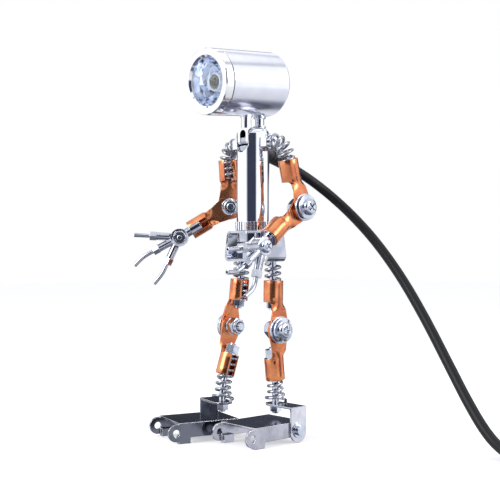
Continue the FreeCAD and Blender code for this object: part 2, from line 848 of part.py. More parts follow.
def bolt_set(name, place):
    """A pan head bolt with big washers outside and a locking nut inside, through two lugs."""
    out = place * at(0, 0, 0, (0, 1, 0), 90)
    pack = 2 * size.washer_thick + size.spacer_thick + size.running_gap
    inside = -2 * size.lug_thick - 3 * size.running_gap
    nut_face = inside - size.small_washer_thick
    tip = nut_face - size.nut_height - size.nut_collar - size.bolt_end
    grip = "2 * washer_thick + spacer_thick + 2 * lug_thick + 4 * running_gap"
    bore = "bolt_radius + thread_gap"
    screw = joined(
        rod("head_bolt_radius", "head_bolt_height", out * at(z=pack)),
        rod("bolt_radius", f"{grip} + small_washer_thick + nut_height + nut_collar + bolt_end",
            out * at(z=tip)),
    )
    nut = cut(
        joined(hexagon("nut_flats", "nut_height", out * at(z=nut_face - size.nut_height)),
               rod("nut_collar_radius", "nut_collar",
                   out * at(z=nut_face - size.nut_height - size.nut_collar))),
        rod(bore, "nut_height + nut_collar", out * at(z=nut_face - size.nut_height
                                                        - size.nut_collar)),
    )
    return keep(name, group(
        screw,
        washer("washer_radius", bore, "washer_thick", out * at(z=size.running_gap)),
        washer("spacer_radius", bore, "spacer_thick",
               out * at(z=size.running_gap + size.washer_thick)),
        washer("front_washer_radius", bore, "washer_thick",
               out * at(z=size.running_gap + size.washer_thick + size.spacer_thick)),
        washer("small_washer_radius", bore, "small_washer_thick", out * at(z=nut_face)),
        nut,
    ))


def forward(side):
    """The sign of a limb's own Y that points to the robot's front."""
    return -side


def facing(side, outward_turn):
    """A turn about Z that points X outward, and swings the limb's front outward."""
    return at(turn=outward_turn) if side == LEFT else at(turn=180 - outward_turn)


# Arms
second_lug = -size.lug_thick - size.running_gap
OUT = {"left": Vec(1, 0, 0), "right": Vec(-1, 0, 0)}
hinges = {}
for word, side in SIDES.items():
    lean, yaw = getattr(size, f"{word}_lean"), getattr(size, f"{word}_yaw")
    drop = getattr(size, f"{word}_drop") + lean
    upper_length = getattr(size, f"{word}_upper_arm")
    shoulder = stand * at(0, size.shoulder_back, size.shoulder_height, (1, 0, 0), -lean)
    arm = shoulder * at(side * size.arm_side) * facing(side, yaw)
    down = shoulder.Rotation.multVec(Vec(0, 0, -1))

    # Spring from the coupling, sideways and round into the upper lug's barrel
    first_turn = size.coupling_end + size.seat_gap + size.wire_radius
    line = Path(shoulder.multVec(Vec(side * first_turn, 0, 0)), OUT[word], down)
    line.run(size.arm_side - size.arm_bend - first_turn).bend(size.arm_bend, pi / 2)
    line.run(upper_length - size.lug_reach - size.arm_bend - size.wire_radius)
    keep(f"shoulder_spring_{word}", wound(f"shoulder_spring_{word}", line, 0, line.length,
                                          size.shoulder_pitch, lambda distance: size.coil_radius))

    elbow = arm * at(size.barrel_radius, 0, -upper_length)
    crimp_lug(f"upper_arm_lug_{word}", "lug_reach", elbow)
    bolt_set(f"elbow_bolt_{word}", elbow)
    fore_turn = side * (90 + drop)
    forearm = elbow * at(second_lug, 0, 0, (1, 0, 0), fore_turn)
    crimp_lug(f"forearm_lug_{word}", "lug_reach", forearm)

    # Wrist: an eye on a shank held in the forearm's barrel, and the hand bolted beside it
    wrist = forearm * at(-size.barrel_radius, 0, size.forearm_length)
    barrel_end = size.lug_reach + size.barrel_length - size.forearm_length
    out = wrist * at(0, 0, 0, (0, 1, 0), 90)
    keep(f"wrist_eye_{word}", cut(
        joined(
            rod("barrel_radius - barrel_wall - running_gap", "shank_depth",
                wrist * at(z=barrel_end - size.shank_depth)),
            rod("shank_radius", "forearm_length - lug_reach - barrel_length",
                wrist * at(z=barrel_end)),
            rod("wrist_eye_radius", "wrist_thick", out * at(z=-size.wrist_thick)),
        ),
        rod("wrist_bolt_radius + running_gap", "wrist_thick * 3", out * at(z=-2 * size.wrist_thick)),
        block("wrist_thick * 3", "wrist_eye_radius * 3", "wrist_eye_radius * 3",
              wrist * at(size.running_gap / 2, -1.5 * size.wrist_eye_radius,
                         -size.wrist_eye_radius - size.running_gap)),
    ))
    plate_out = size.running_gap + size.wrist_thick
    nut_face = -size.wrist_thick - size.running_gap
    wrist_bore = "wrist_bolt_radius + thread_gap"
    nut_end = nut_face - size.wrist_washer_thick - size.wrist_nut_height
    keep(f"wrist_bolt_{word}", group(
        joined(
            rod("wrist_head_radius", "wrist_head_height",
                out * at(z=plate_out + size.running_gap + size.wrist_washer_thick)),
            rod("wrist_bolt_radius", "2 * wrist_thick + 3 * running_gap + 2 * wrist_washer_thick"
                " + wrist_nut_height + running_gap + rod_end / 2",
                out * at(z=nut_end - size.rod_end / 2)),
        ),
        washer("wrist_washer_radius", wrist_bore, "wrist_washer_thick",
               out * at(z=plate_out + size.running_gap)),
        washer("wrist_washer_radius", wrist_bore, "wrist_washer_thick",
               out * at(z=nut_face - size.wrist_washer_thick)),
        cut(hexagon("wrist_nut_flats", "wrist_nut_height", out * at(z=nut_end)),
            rod(wrist_bore, "wrist_nut_height", out * at(z=nut_end))),
    ))

    # Hand: a plate with three sockets fanned in the arm's plane, and a bent tube in each
    palm = wrist * at(size.running_gap + size.wrist_thick / 2)
    turns = {"thumb": size.finger_spread, "middle": size.middle_turn, "lower": -size.finger_spread}
    sockets, fingers = [], []
    for finger, turn in turns.items():
        socket = palm * at(0, 0, 0, (1, 0, 0), forward(side) * turn)
        sockets.append(rod("socket_radius", "socket_end - wrist_eye_radius / 2",
                           socket * at(z=size.wrist_eye_radius / 2)))
        length = "thumb" if finger == "thumb" else "finger"
        first, second = getattr(size, f"{length}_first"), getattr(size, f"{length}_second")
        curl = 0 if finger == "thumb" else getattr(size, f"{word}_curl_{finger}")
        bend = radians(curl)
        start = Vec(0, 0, size.socket_end)
        corner = Vec(0, 0, size.socket_end + first)
        lift = forward(side) * sin(bend) * second
        tip = corner + Vec(0, lift, cos(bend) * second)
        fingers.append(cut(
            hexagon("ferrule_flats", "ferrule_length", socket * at(z=size.socket_end)),
            rod("finger_radius + thread_gap", "ferrule_length", socket * at(z=size.socket_end))))
        points = [socket.multVec(point) for point in (start, corner, tip)]
        way = socket.Rotation.multVec(Vec(0, 0, 1))
        if curl:
            edges = tube_route(points)[0]
        else:
            edges = [Part.LineSegment(points[0], points[2]).toShape()]
        tube_wall = swept(edges, points[0], way, size.finger_radius)
        fingers.append(solid(tube_wall.cut(swept(edges, points[0], way, size.finger_bore)), "Finger"))
    hub = rod("wrist_eye_radius", "wrist_thick", out * at(z=size.running_gap))
    keep(f"hand_{word}", cut(
        joined(hub, *sockets),
        rod("wrist_bolt_radius + running_gap", "wrist_thick * 3",
            out * at(z=-size.wrist_thick)),
        block("wrist_thick", "wrist_eye_radius * 2", "wrist_eye_radius * 2",
              wrist * at(-size.wrist_thick + size.running_gap, -size.wrist_eye_radius,
                         -size.wrist_eye_radius)),
        rod("wrist_washer_radius + running_gap", "wrist_thick", out * at(z=plate_out)),
    ))
    keep(f"fingers_{word}", group(*fingers))
    hinges[f"shoulder_{word}"] = (shoulder.Base, Vec(1, 0, 0))
    hinges[f"arm_{word}"] = (arm.Base, down)
    hinges[f"elbow_{word}"] = (elbow.Base, elbow.Rotation.multVec(Vec(1, 0, 0)))
    hinges[f"wrist_{word}"] = (wrist.Base, wrist.Rotation.multVec(Vec(1, 0, 0)))


# Legs: a rod and spring from the pelvis, two lugs bolted at the knee, and a second rod and
# spring down to the foot's bracket. Each rod bends with its spring from upright to the limb
def along(line, distance):
    """A place on a path, with Z along it."""
    spot, way, _ = line.place(distance)
    return FreeCAD.Placement(spot, FreeCAD.Rotation(Vec(0, 0, 1), way))


def bent_rod(line, begin, end):
    ring = Part.Wire([Part.Circle(line.place(begin)[0], line.place(begin)[1],
                                  size.rod_radius).toShape()])
    edges = []
    for start, length, *_ in line.pieces:
        first, last = max(begin, start), min(end, start + length)
        if last - first > 1e-6:
            ends = [line.place(spot)[0] for spot in (first, (first + last) / 2, last - 1e-9)]
            straight = (ends[1] - ends[0]).getAngle(ends[2] - ends[0]) < 1e-7
            curve = Part.LineSegment(ends[0], ends[2]) if straight else Part.Arc(*ends)
            edges.append(curve.toShape())
    return solid(Part.Wire(edges).makePipeShell([ring], True, False), "BentRod")


def rod_nut(flats, height, place):
    """A nut with two of its flats facing sideways."""
    return cut(hexagon(flats, height, place * at(turn=30)),
               rod("rod_radius + thread_gap", height, place))


FRONT = Vec(0, -1, 0)
DOWN = Vec(0, 0, -1)
seat = size.seat_gap
for word, side in SIDES.items():
    thigh_lean = radians(getattr(size, f"{word}_thigh_lean"))
    shin_lean = radians(getattr(size, f"{word}_shin_lean"))

    # Hip: rod through the pelvis, locked by a nut above and a washer and nut in the barrel's end
    inside = size.pelvis_wall + seat + size.rod_nut_height + size.rod_end
    hip = stand.multVec(Vec(side * size.hip_side, size.hip_back, pelvis_bottom + inside))
    hip_line = Path(hip, DOWN, FRONT).run(inside)
    hip_line.bend(size.hip_bend_length / abs(thigh_lean), thigh_lean)
    barrel_top = hip_line.length
    hip_line.run(size.barrel_length + size.rod_nut_height + size.rod_end)
    barrel_end = barrel_top + size.barrel_length
    washer_top = barrel_end - size.seat_washer_thick
    keep(f"hip_rod_{word}", group(
        bent_rod(hip_line, 0, hip_line.length),
        rod_nut("rod_nut_flats", "rod_nut_height", along(hip_line, size.rod_end)),
        washer("barrel_radius - barrel_wall - running_gap", "rod_radius + thread_gap",
               "seat_washer_thick", along(hip_line, washer_top)),
        rod_nut("rod_nut_flats", "rod_nut_height", along(hip_line, barrel_end)),
    ))
    hip_begin = inside + seat + size.wire_radius
    keep(f"hip_spring_{word}", wound(f"hip_spring_{word}", hip_line, hip_begin,
                                     washer_top - seat - size.wire_radius, size.leg_pitch,
                                     lambda distance: size.coil_radius))

    # Knee
    top, thigh_way, _ = hip_line.place(barrel_top)
    knee_point = top + thigh_way * (size.barrel_length + size.lug_reach)
    knee_point = knee_point + OUT[word] * size.barrel_radius
    outward = facing(side, 0)
    knee = FreeCAD.Placement(knee_point, FreeCAD.Rotation(Vec(1, 0, 0), 0))
    thigh = knee * at(axis=(1, 0, 0), turn=-getattr(size, f"{word}_thigh_lean")) * outward
    crimp_lug(f"thigh_lug_{word}", "lug_reach", thigh)
    bolt_set(f"knee_bolt_{word}", thigh)
    shin = (knee * at(x=side * second_lug)
            * at(axis=(1, 0, 0), turn=180 - getattr(size, f"{word}_shin_lean")) * outward)
    crimp_lug(f"shin_lug_{word}", "shin_reach", shin)

    # Ankle: the shin's axis bends upright over the bracket's flange
    shin_way = Vec(0, -sin(shin_lean), -cos(shin_lean))
    shin_axis = shin.multVec(Vec(-size.barrel_radius, 0, 0))
    nuts = size.seat_washer_thick + size.shin_nut_height + size.rod_end
    start = shin_axis + shin_way * (size.shin_reach - nuts + size.seat_washer_thick)
    side_way = Vec(0, cos(shin_lean), -sin(shin_lean)) * (1 if shin_lean > 0 else -1)
    shin_line = Path(start, shin_way, side_way).run(nuts - size.seat_washer_thick
                                                    + size.barrel_length)
    drop = shin_line.point.z - size.bracket_top - size.wire_radius
    shin_line.bend(drop / sin(abs(shin_lean)), abs(shin_lean))
    bend_end = shin_line.length
    flange = bend_end + size.wire_radius
    nut_top = flange + size.sheet_thick + size.running_gap
    shin_line.run(nut_top + size.rod_nut_height + size.rod_end - bend_end)
    shin_washer = size.rod_end + size.shin_nut_height
    keep(f"ankle_rod_{word}", group(
        bent_rod(shin_line, 0, shin_line.length),
        rod_nut("shin_nut_flats", "shin_nut_height", along(shin_line, size.rod_end)),
        washer("barrel_radius - barrel_wall - running_gap", "rod_radius + thread_gap",
               "seat_washer_thick", along(shin_line, shin_washer)),
        rod_nut("rod_nut_flats", "rod_nut_height", along(shin_line, nut_top)),
    ))
    spring_begin = shin_washer + size.seat_washer_thick + seat + size.wire_radius
    spring_end = flange - seat - size.wire_radius
    cone_begin = spring_end - size.cone_turns * size.leg_pitch

    def ankle_radius(distance):
        share = max(0.0, distance - cone_begin) / (spring_end - cone_begin)
        return size.coil_radius + (size.cone_radius - size.coil_radius) * share

    keep(f"ankle_spring_{word}", wound(f"ankle_spring_{word}", shin_line, spring_begin,
                                       spring_end, size.leg_pitch, ankle_radius))

    # Foot: a steel channel, toe forward, with an angle bracket screwed to its outer wall
    ankle = shin_line.point
    front = forward(side)
    foot = (at(ankle.x, ankle.y) * facing(side, getattr(size, f"{word}_foot_yaw")))
    wall_face = size.foot_outer
    screw = foot * at(wall_face, 0, size.bracket_screw_height, (0, 1, 0), 90)
    plate_face = size.foot_outer + size.running_gap
    half_width = size.bracket_width / 2
    keep(f"ankle_bracket_{word}", cut(
        joined(
            block("foot_outer + running_gap + sheet_thick", "bracket_width", "sheet_thick",
                  foot * at(0, -half_width, size.bracket_top - size.sheet_thick)),
            rod("bracket_width / 2", "sheet_thick",
                foot * at(0, 0, size.bracket_top - size.sheet_thick)),
            block("sheet_thick", "bracket_width", "bracket_top - bracket_width / 2",
                  foot * at(plate_face, -half_width, half_width)),
            rod("bracket_width / 2", "sheet_thick",
                foot * at(plate_face, 0, half_width, (0, 1, 0), 90)),
        ),
        rod("rod_radius + running_gap", "sheet_thick * 3",
            foot * at(0, 0, size.bracket_top - 2 * size.sheet_thick)),
        rod("bracket_screw_radius + running_gap", "sheet_thick * 4", screw),
    ))
    head_seat = size.running_gap * 2 + size.sheet_thick
    nut_seat = -size.sheet_thick - size.running_gap - size.bracket_nut_height
    keep(f"bracket_screw_{word}", group(
        washer("bracket_washer_radius", "bracket_screw_radius + thread_gap", "sheet_thick / 2",
               screw * at(z=head_seat)),
        joined(
            rod("bracket_head_radius", "bracket_head_height",
                screw * at(z=head_seat + size.sheet_thick / 2 + size.running_gap)),
            rod("bracket_screw_radius",
                "2 * bracket_nut_height + 2 * sheet_thick + sheet_thick / 2 + 4 * running_gap",
                screw * at(z=nut_seat - size.bracket_nut_height)),
        ),
        cut(hexagon("bracket_nut_flats", "bracket_nut_height", screw * at(z=nut_seat)),
            rod("bracket_screw_radius + thread_gap", "bracket_nut_height",
                screw * at(z=nut_seat))),
    ))

    length = size.foot_toe + size.foot_heel
    toe = front * size.foot_toe
    low = min(toe, -front * size.foot_heel)
    inner_face = size.foot_outer - size.foot_width
    ear_height = size.foot_top - size.ear_radius - size.sheet_thick / 2
    walls, holes = [], []
    for face in (inner_face, size.foot_outer - size.sheet_thick):
        ear = foot * at(face, toe + front * size.ear_forward, ear_height, (0, 1, 0), 90)
        ear_low = min(toe + front * size.ear_forward, toe - front * size.pad_back)
        walls.append(block("sheet_thick", "foot_toe + foot_heel", "foot_top - wall_bottom",
                           foot * at(face, low, size.wall_bottom)))
        walls.append(rod("ear_radius", "sheet_thick", ear))
        walls.append(block("sheet_thick", "ear_forward + pad_back", "ear_radius * 2",
                           foot * at(face, ear_low, ear_height - size.ear_radius)))
        holes.append(rod("ear_hole", "sheet_thick * 3", ear * at(z=-size.sheet_thick)))
    for face in (inner_face, size.foot_outer - size.pad_width):
        pad_low = min(toe - front * size.pad_back, toe - front * (size.pad_back - size.pad_length))
        walls.append(block("pad_width", "pad_length", "wall_bottom + sheet_thick",
                           foot * at(face, pad_low)))
    keep(f"foot_channel_{word}", cut(
        joined(block("foot_width", "foot_toe + foot_heel", "sheet_thick",
                     foot * at(inner_face, low, size.foot_top - size.sheet_thick)), *walls),
        rod("bracket_screw_radius + running_gap", "sheet_thick * 4",
            screw * at(z=-2 * size.sheet_thick)),
        *holes,
    ))
    hinges[f"hip_{word}"] = (hip, DOWN)
    hinges[f"knee_{word}"] = (knee.Base, OUT[word])
    hinges[f"ankle_{word}"] = (ankle, DOWN)
    hinges[f"foot_{word}"] = (screw.Base, screw.Rotation.multVec(Vec(0, 0, 1)))


# Cord: out of the gland, down to the table in one long bow, and wound up beside the lamp.
# The route's points are measured from the body's axis on the table, and hang with the gland
CORD_ROUTE = [
    Vec(2.3, 65.0, 0.8812 * size.gland_height),
    Vec(10.6, 76.6, 0.8298 * size.gland_height),
    Vec(24.2, 85.2, 0.7610 * size.gland_height),
    Vec(42.9, 90.8, 0.6693 * size.gland_height),
    Vec(66.9, 91.9, 0.5459 * size.gland_height),
    Vec(92.3, 88.7, 0.4055 * size.gland_height),
    Vec(117.0, 83.4, 0.2628 * size.gland_height),
    Vec(138.5, 77.7, 0.1450 * size.gland_height),
    Vec(157.6, 71.9, 0.0624 * size.gland_height),
    Vec(173.9, 67.0, 0.0257 * size.gland_height),
    Vec(191.1, 61.8, size.cord_radius),
    Vec(199.7, 59.2, size.cord_radius),
]
gland_mouth = size.gland_seat + size.gland_flange + size.gland_tip_length
cord_points = [gland.multVec(Vec(0, 0, gland_mouth)),
               gland.multVec(Vec(0, 0, gland_mouth + size.cord_straight))]
cord_points += [stand.multVec(point) for point in CORD_ROUTE]
cord_edges, cord_radii = tube_route(cord_points)
cord_way = (cord_points[1] - cord_points[0]).normalize()
cord_shape = swept(cord_edges, cord_points[0], cord_way, size.cord_radius)
cord_length = sum(edge.Length for edge in cord_edges)
section = pi * size.cord_radius ** 2
print("cord radii", " ".join(f"{radius:.0f}" for radius in cord_radii))
print(f"cord_run: {cord_length:.1f} mm, volume over section {cord_shape.Volume / section:.1f} mm")
keep("cord_run", solid(cord_shape, "CordRun"))

heading = (cord_points[-1] - cord_points[-2]).normalize()
inward = size.coil_pitch / (2 * pi)
layer_angle = 2 * pi * size.coil_layer_turns
climb_angle = pi
full_angle = 2 * layer_angle + climb_angle
outer_turn = size.coil_inner_turn + inward * full_angle / 2
coil_start = cord_points[-1] + heading * size.coil_lead
start_side = FreeCAD.Rotation(Vec(0, 0, 1), -90 - 180 / pi * inward / outer_turn).multVec(heading)
coil_centre = coil_start - start_side * outer_turn


def coil_point(angle):
    """In along the table, up a layer in the half turn where it reverses, and out again on top."""
    radius = outer_turn - inward * min(angle, full_angle - angle)
    climbed = min(max((angle - layer_angle) / climb_angle, 0), 1)
    rise = (1 - cos(pi * climbed)) / 2
    turn = FreeCAD.Rotation(Vec(0, 0, 1), 180 / pi * angle)
    return coil_centre + turn.multVec(start_side) * radius + Vec(0, 0, size.coil_pitch * rise)


def coil_way(angle):
    step = 1e-5
    return (coil_point(angle + step) - coil_point(angle - step)).normalize()


quarter_count = round(2 * full_angle / pi)
stops = [full_angle * i / quarter_count for i in range(quarter_count + 1)]
coil_edges = [Part.LineSegment(cord_points[-1], coil_start).toShape()]
for first, last in zip(stops, stops[1:]):
    first_way = heading if first == 0 else coil_way(first)
    coil_edges += [arc.toShape() for arc in biarc(coil_point(first), first_way,
                                                  coil_point(last), coil_way(last))]
end_way = coil_way(full_angle)
coil_end = coil_point(full_angle) + end_way * size.coil_tail
coil_edges.append(Part.LineSegment(coil_point(full_angle), coil_end).toShape())
coil_shape = swept(coil_edges, cord_points[-1], heading, size.cord_radius)
coil_length = sum(edge.Length for edge in coil_edges)
samples = [coil_point(full_angle * i / 900) for i in range(901)]
apart = round(900 * pi / full_angle)
least = min((samples[i] - samples[j]).Length
            for i in range(0, 901, 2) for j in range(i + apart, 901))
print(f"cord_coil: {coil_length:.1f} mm, volume over section {coil_shape.Volume / section:.1f} mm, "
      f"least gap to itself {least - 2 * size.cord_radius:.2f} mm")
print(f"whole cord {cord_length + coil_length:.0f} mm")
keep("cord_coil", solid(coil_shape, "CordCoil"))

plug = FreeCAD.Placement(coil_end, FreeCAD.Rotation(Vec(0, 0, 1), end_way))
level = FreeCAD.Placement(coil_end, FreeCAD.Rotation(end_way, Vec(0, 0, 1).cross(end_way),
                                                     Vec(0, 0, 1), "XYZ"))
keep("plug_body", joined(
    cone("plug_relief_radius", "plug_back_radius", "plug_relief_length", plug),
    cone("plug_back_radius", "plug_radius", "plug_body_length / 2",
         plug * at(z=size.plug_relief_length)),
    rod("plug_radius", "plug_body_length / 2",
        plug * at(z=size.plug_relief_length + size.plug_body_length / 2)),
))
blade_start = size.plug_relief_length + size.plug_body_length
blade_low = -size.blade_width / 2
keep("plug_blades", group(*(
    block("blade_length", "blade_thick", "blade_width",
          level * at(blade_start, place - size.blade_thick / 2, blade_low))
    for place in (-size.blade_spacing / 2, size.blade_spacing / 2))))


# Check every object and write every sub-part
doc.recompute()
faults = [item.Label for item in doc.Objects if {"Invalid", "Error"} & set(item.State)]
for name, piece in nodes.items():
    if piece.Shape.isNull() or not piece.Shape.isValid() or not piece.Shape.Solids:
        faults.append(name)
if faults:
    raise RuntimeError(f"these did not build: {', '.join(faults)}")
os.makedirs("parts", exist_ok=True)
for name, piece in nodes.items():
    piece.Shape.exportStep(f"parts/{name}.step")
print(f"{len(nodes)} sub-parts, {sum(len(piece.Shape.Solids) for piece in nodes.values())} solids")
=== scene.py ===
import json
from math import cos, pi, radians, sin, tan

import bmesh
import bpy
from mathutils import Matrix, Quaternion, Vector


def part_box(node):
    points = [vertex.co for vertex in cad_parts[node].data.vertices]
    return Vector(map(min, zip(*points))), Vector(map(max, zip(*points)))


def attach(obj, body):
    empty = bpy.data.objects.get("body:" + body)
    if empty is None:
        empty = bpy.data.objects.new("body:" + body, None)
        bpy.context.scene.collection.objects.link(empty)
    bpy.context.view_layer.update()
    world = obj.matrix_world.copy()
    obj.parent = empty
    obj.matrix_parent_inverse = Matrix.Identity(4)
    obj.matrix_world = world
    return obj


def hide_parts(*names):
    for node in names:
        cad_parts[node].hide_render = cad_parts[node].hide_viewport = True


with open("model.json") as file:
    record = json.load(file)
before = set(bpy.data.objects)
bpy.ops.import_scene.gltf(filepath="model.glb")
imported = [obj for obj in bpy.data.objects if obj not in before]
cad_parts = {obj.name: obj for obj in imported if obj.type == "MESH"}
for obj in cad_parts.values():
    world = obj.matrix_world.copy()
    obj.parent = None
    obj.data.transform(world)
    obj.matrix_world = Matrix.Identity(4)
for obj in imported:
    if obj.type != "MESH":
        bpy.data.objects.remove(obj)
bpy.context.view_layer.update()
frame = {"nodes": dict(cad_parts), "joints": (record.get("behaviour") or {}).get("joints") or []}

# Robot shaped desk lamp, built from hardware: a small LED spotlight for a head, a chromed tube
# for a body, copper crimp lugs bolted together for limbs, springs at every joint, and short
# channels of nickel plated steel for feet. A black mains cord leaves its back.

nodes = frame["nodes"]
joints = {joint["name"]: joint for joint in frame["joints"]}
MM = 0.001
SIDES = {"left": 1, "right": -1}

tube_low, tube_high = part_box("torso_tube")
BODY_AXIS = Vector(((tube_low.x + tube_high.x) / 2, (tube_low.y + tube_high.y) / 2, 0))


# The studio: a white sweep, one big soft light on each side, and a camera at the photograph's
# height and angle. The metal sees white sheets with dark gaps between them, which the camera
# doesn't see.
CAMERA_SIDE = Vector((cos(radians(-42)), sin(radians(-42)), 0))
CAMERA_RIGHT = Vector((-CAMERA_SIDE.y, CAMERA_SIDE.x, 0))
CAMERA_DISTANCE = 722 * MM
CAMERA_HEIGHT = 139.5 * MM
CAMERA_SHIFT = -2.25 * MM
SENSOR = 36.0
FOCAL_PIXELS = 963
PICTURE_PIXELS = 500

camera_data = bpy.data.cameras.new("camera")
camera_data.sensor_width = SENSOR
camera_data.lens = SENSOR * FOCAL_PIXELS / PICTURE_PIXELS
camera_data.clip_start = 10 * MM
camera = bpy.data.objects.new("camera", camera_data)
camera.location = BODY_AXIS + CAMERA_SIDE * CAMERA_DISTANCE + CAMERA_RIGHT * CAMERA_SHIFT
camera.location.z = CAMERA_HEIGHT
camera.rotation_euler = (-CAMERA_SIDE).to_track_quat("-Z", "Y").to_euler()
bpy.context.scene.collection.objects.link(camera)
bpy.context.scene.camera = camera
bpy.context.scene.view_settings.view_transform = "Standard"


class Shade:
    """A value or a colour on its way through a shader's nodes, so that sums read as sums."""

    def __init__(self, tree, socket):
        self.tree, self.socket = tree, socket

    def node(self, kind, inputs=(), output=0, **settings):
        """Any node: its settings first, then the values or links of its sockets."""
        made = self.tree.nodes.new(kind)
        stops = settings.pop("stops", None)
        for key, value in settings.items():
            setattr(made, key, value)
        if stops:
            ramp = made.color_ramp
            while len(ramp.elements) < len(stops):
                ramp.elements.new(0.5)
            for element, (place, colour) in zip(ramp.elements, stops):
                element.position, element.color = place, (*colour, 1)
        for key, value in dict(inputs).items():
            if isinstance(value, Shade):
                self.tree.links.new(value.socket, made.inputs[key])
            else:
                made.inputs[key].default_value = value
        return Shade(self.tree, made.outputs[output] if made.outputs else None)

    def sum(self, operation, *others):
        """One sum or function of this value and others."""
        inputs = dict(enumerate((self, *others)))
        return self.node("ShaderNodeMath", inputs, operation=operation)

    def __add__(self, other):
        return self.sum("ADD", other)

    def __sub__(self, other):
        return self.sum("SUBTRACT", other)

    def __mul__(self, other):
        return self.sum("MULTIPLY", other)

    def __truediv__(self, other):
        return self.sum("DIVIDE", other)

    def __rsub__(self, other):
        return self.node("ShaderNodeMath", {0: other, 1: self}, operation="SUBTRACT")

    __radd__ = __add__

    def step(self, low, high):
        """0 below low and 1 above high, with a soft rise between."""
        return self.node("ShaderNodeMapRange", {"Value": self, "From Min": low, "From Max": high},
                         interpolation_type="SMOOTHSTEP")

    def mix(self, first, second):
        """Between two colours, by this value."""
        made = self.tree.nodes.new("ShaderNodeMix")
        made.data_type = "RGBA"
        self.tree.links.new(self.socket, made.inputs["Factor"])
        for socket, colour in ((made.inputs[6], first), (made.inputs[7], second)):
            if isinstance(colour, Shade):
                self.tree.links.new(colour.socket, socket)
            else:
                socket.default_value = (*colour, 1)
        return Shade(self.tree, made.outputs[2])

    def ramp(self, *stops):
        """This value through a colour ramp."""
        return self.node("ShaderNodeValToRGB", {0: self}, stops=stops)


def grey(value, tint=(1, 1, 1)):
    """A colour as a level times a tint."""
    return tuple(value * part for part in tint)


COOL = (0.94, 0.96, 1.0)
INK = (0.72, 0.86, 1.35)
world = bpy.data.worlds.new("studio")
world.use_nodes = True
world.node_tree.nodes.clear()
air = Shade(world.node_tree, None)
way = air.node("ShaderNodeTexCoord", output=0)


def along_way(direction):
    """How far the looked-at direction goes along another."""
    return way.node("ShaderNodeVectorMath", {0: way, 1: direction}, output=1,
                    operation="DOT_PRODUCT")


turn = along_way(CAMERA_RIGHT).sum("ARCTAN2", along_way(CAMERA_SIDE)) * (180 / pi)
rise = along_way((0, 0, 1)).sum("ARCSINE") * (180 / pi)


def sheets(angle, low, high, *stops):
    """Brightness at angles in degrees, as one ramp from low to high."""
    return ((angle - low) / (high - low)).ramp(
        *(((place - low) / (high - low), grey(value, COOL if value > 0.3 else INK))
          for place, value in stops))


round_about = sheets(turn, -180, 180, (-180, 0.12), (-168, 0.85), (-150, 0.5), (-138, 0.42),
                     (-130, 1.0),
                     (-50, 1.0), (-38, 0.05), (18, 0.05), (26, 1.0), (56, 1.0), (62, 0.25),
                     (77, 0.27), (84, 1.0), (120, 1.0), (127, 0.05), (143, 0.05), (150, 0.9),
                     (168, 0.85), (180, 0.12))
overhead = sheets(rise, 20, 90, (20, 0.86), (33, 0.95), (41, 0.95), (44, 0.5), (47, 0.55),
                  (51, 0.95), (90, 1.05))
underfoot = sheets(rise, -90, 0, (-90, 0.10), (-71, 0.12), (-66, 0.42), (-62, 0.10), (-56, 0.10),
                   (-52, 0.46), (-48, 0.10), (-41, 0.10), (-37, 0.60), (-8, 0.80))
behind = (turn.sum("ABSOLUTE").step(140, 150)) * rise.step(3, 6) * (1 - rise.step(20, 26))
seen_by_metal = rise.step(23, 31).mix(rise.step(-14, -8).mix(underfoot, round_about), overhead)
seen_by_metal = behind.mix(seen_by_metal, grey(0.06, (0.8, 0.9, 1.2)))
from_camera = air.node("ShaderNodeLightPath", output="Is Camera Ray")
through_glass = air.node("ShaderNodeLightPath", output="Is Transmission Ray")
from_metal = air.node("ShaderNodeLightPath", output="Is Glossy Ray")
FILL_LEVEL = 0.62
METAL_BOOST = 0.25
fill_light = grey(FILL_LEVEL, COOL)
sky = (from_camera + through_glass).mix(from_metal.mix(fill_light, seen_by_metal), (1, 1, 1))
background = air.node("ShaderNodeBackground",
                      {"Color": sky, "Strength": 1 + from_metal * METAL_BOOST})
air.node("ShaderNodeOutputWorld", {"Surface": background})
bpy.context.scene.world = world

SWEEP_HALF = 3.0
SWEEP_DROP = 0.1 * MM
SWEEP_GLOW = 0.42
floor_mesh = bpy.data.meshes.new("floor")
corners = [(x * SWEEP_HALF, y * SWEEP_HALF, 0) for x, y in ((-1, -1), (1, -1), (1, 1), (-1, 1))]
floor_mesh.from_pydata(corners, [], [(0, 1, 2, 3)])
floor = bpy.data.objects.new("floor", floor_mesh)
floor.location.z = -SWEEP_DROP
bpy.context.scene.collection.objects.link(floor)
floor.visible_glossy = False
sweep = bpy.data.materials.new("white_sweep")
sweep.use_nodes = True
sweep_shader = sweep.node_tree.nodes["Principled BSDF"]
sweep_shader.inputs["Base Color"].default_value = (0.9, 0.9, 0.91, 1)
sweep_shader.inputs["Roughness"].default_value = 0.9
seen = Shade(sweep.node_tree, None).node("ShaderNodeLightPath", output="Is Camera Ray")
sweep.node_tree.links.new(seen.mix((0, 0, 0), grey(SWEEP_GLOW)).socket,
                          sweep_shader.inputs["Emission Color"])
sweep_shader.inputs["Emission Strength"].default_value = 1.0
floor_mesh.materials.append(sweep)


CHEST_HEIGHT = 150 * MM


def soft_light(name, turn_from_camera, height, distance, width, watts):
    """A square softbox that looks at the lamp's chest."""
    data = bpy.data.lights.new(name, "AREA")
    data.size, data.energy = width, watts
    light = bpy.data.objects.new(name, data)
    direction = Quaternion((0, 0, 1), radians(turn_from_camera)) @ CAMERA_SIDE
    chest = BODY_AXIS + Vector((0, 0, CHEST_HEIGHT))
    light.location = chest + direction * distance + Vector((0, 0, height))
    light.rotation_euler = (chest - light.location).to_track_quat("-Z", "Y").to_euler()
    bpy.context.scene.collection.objects.link(light)


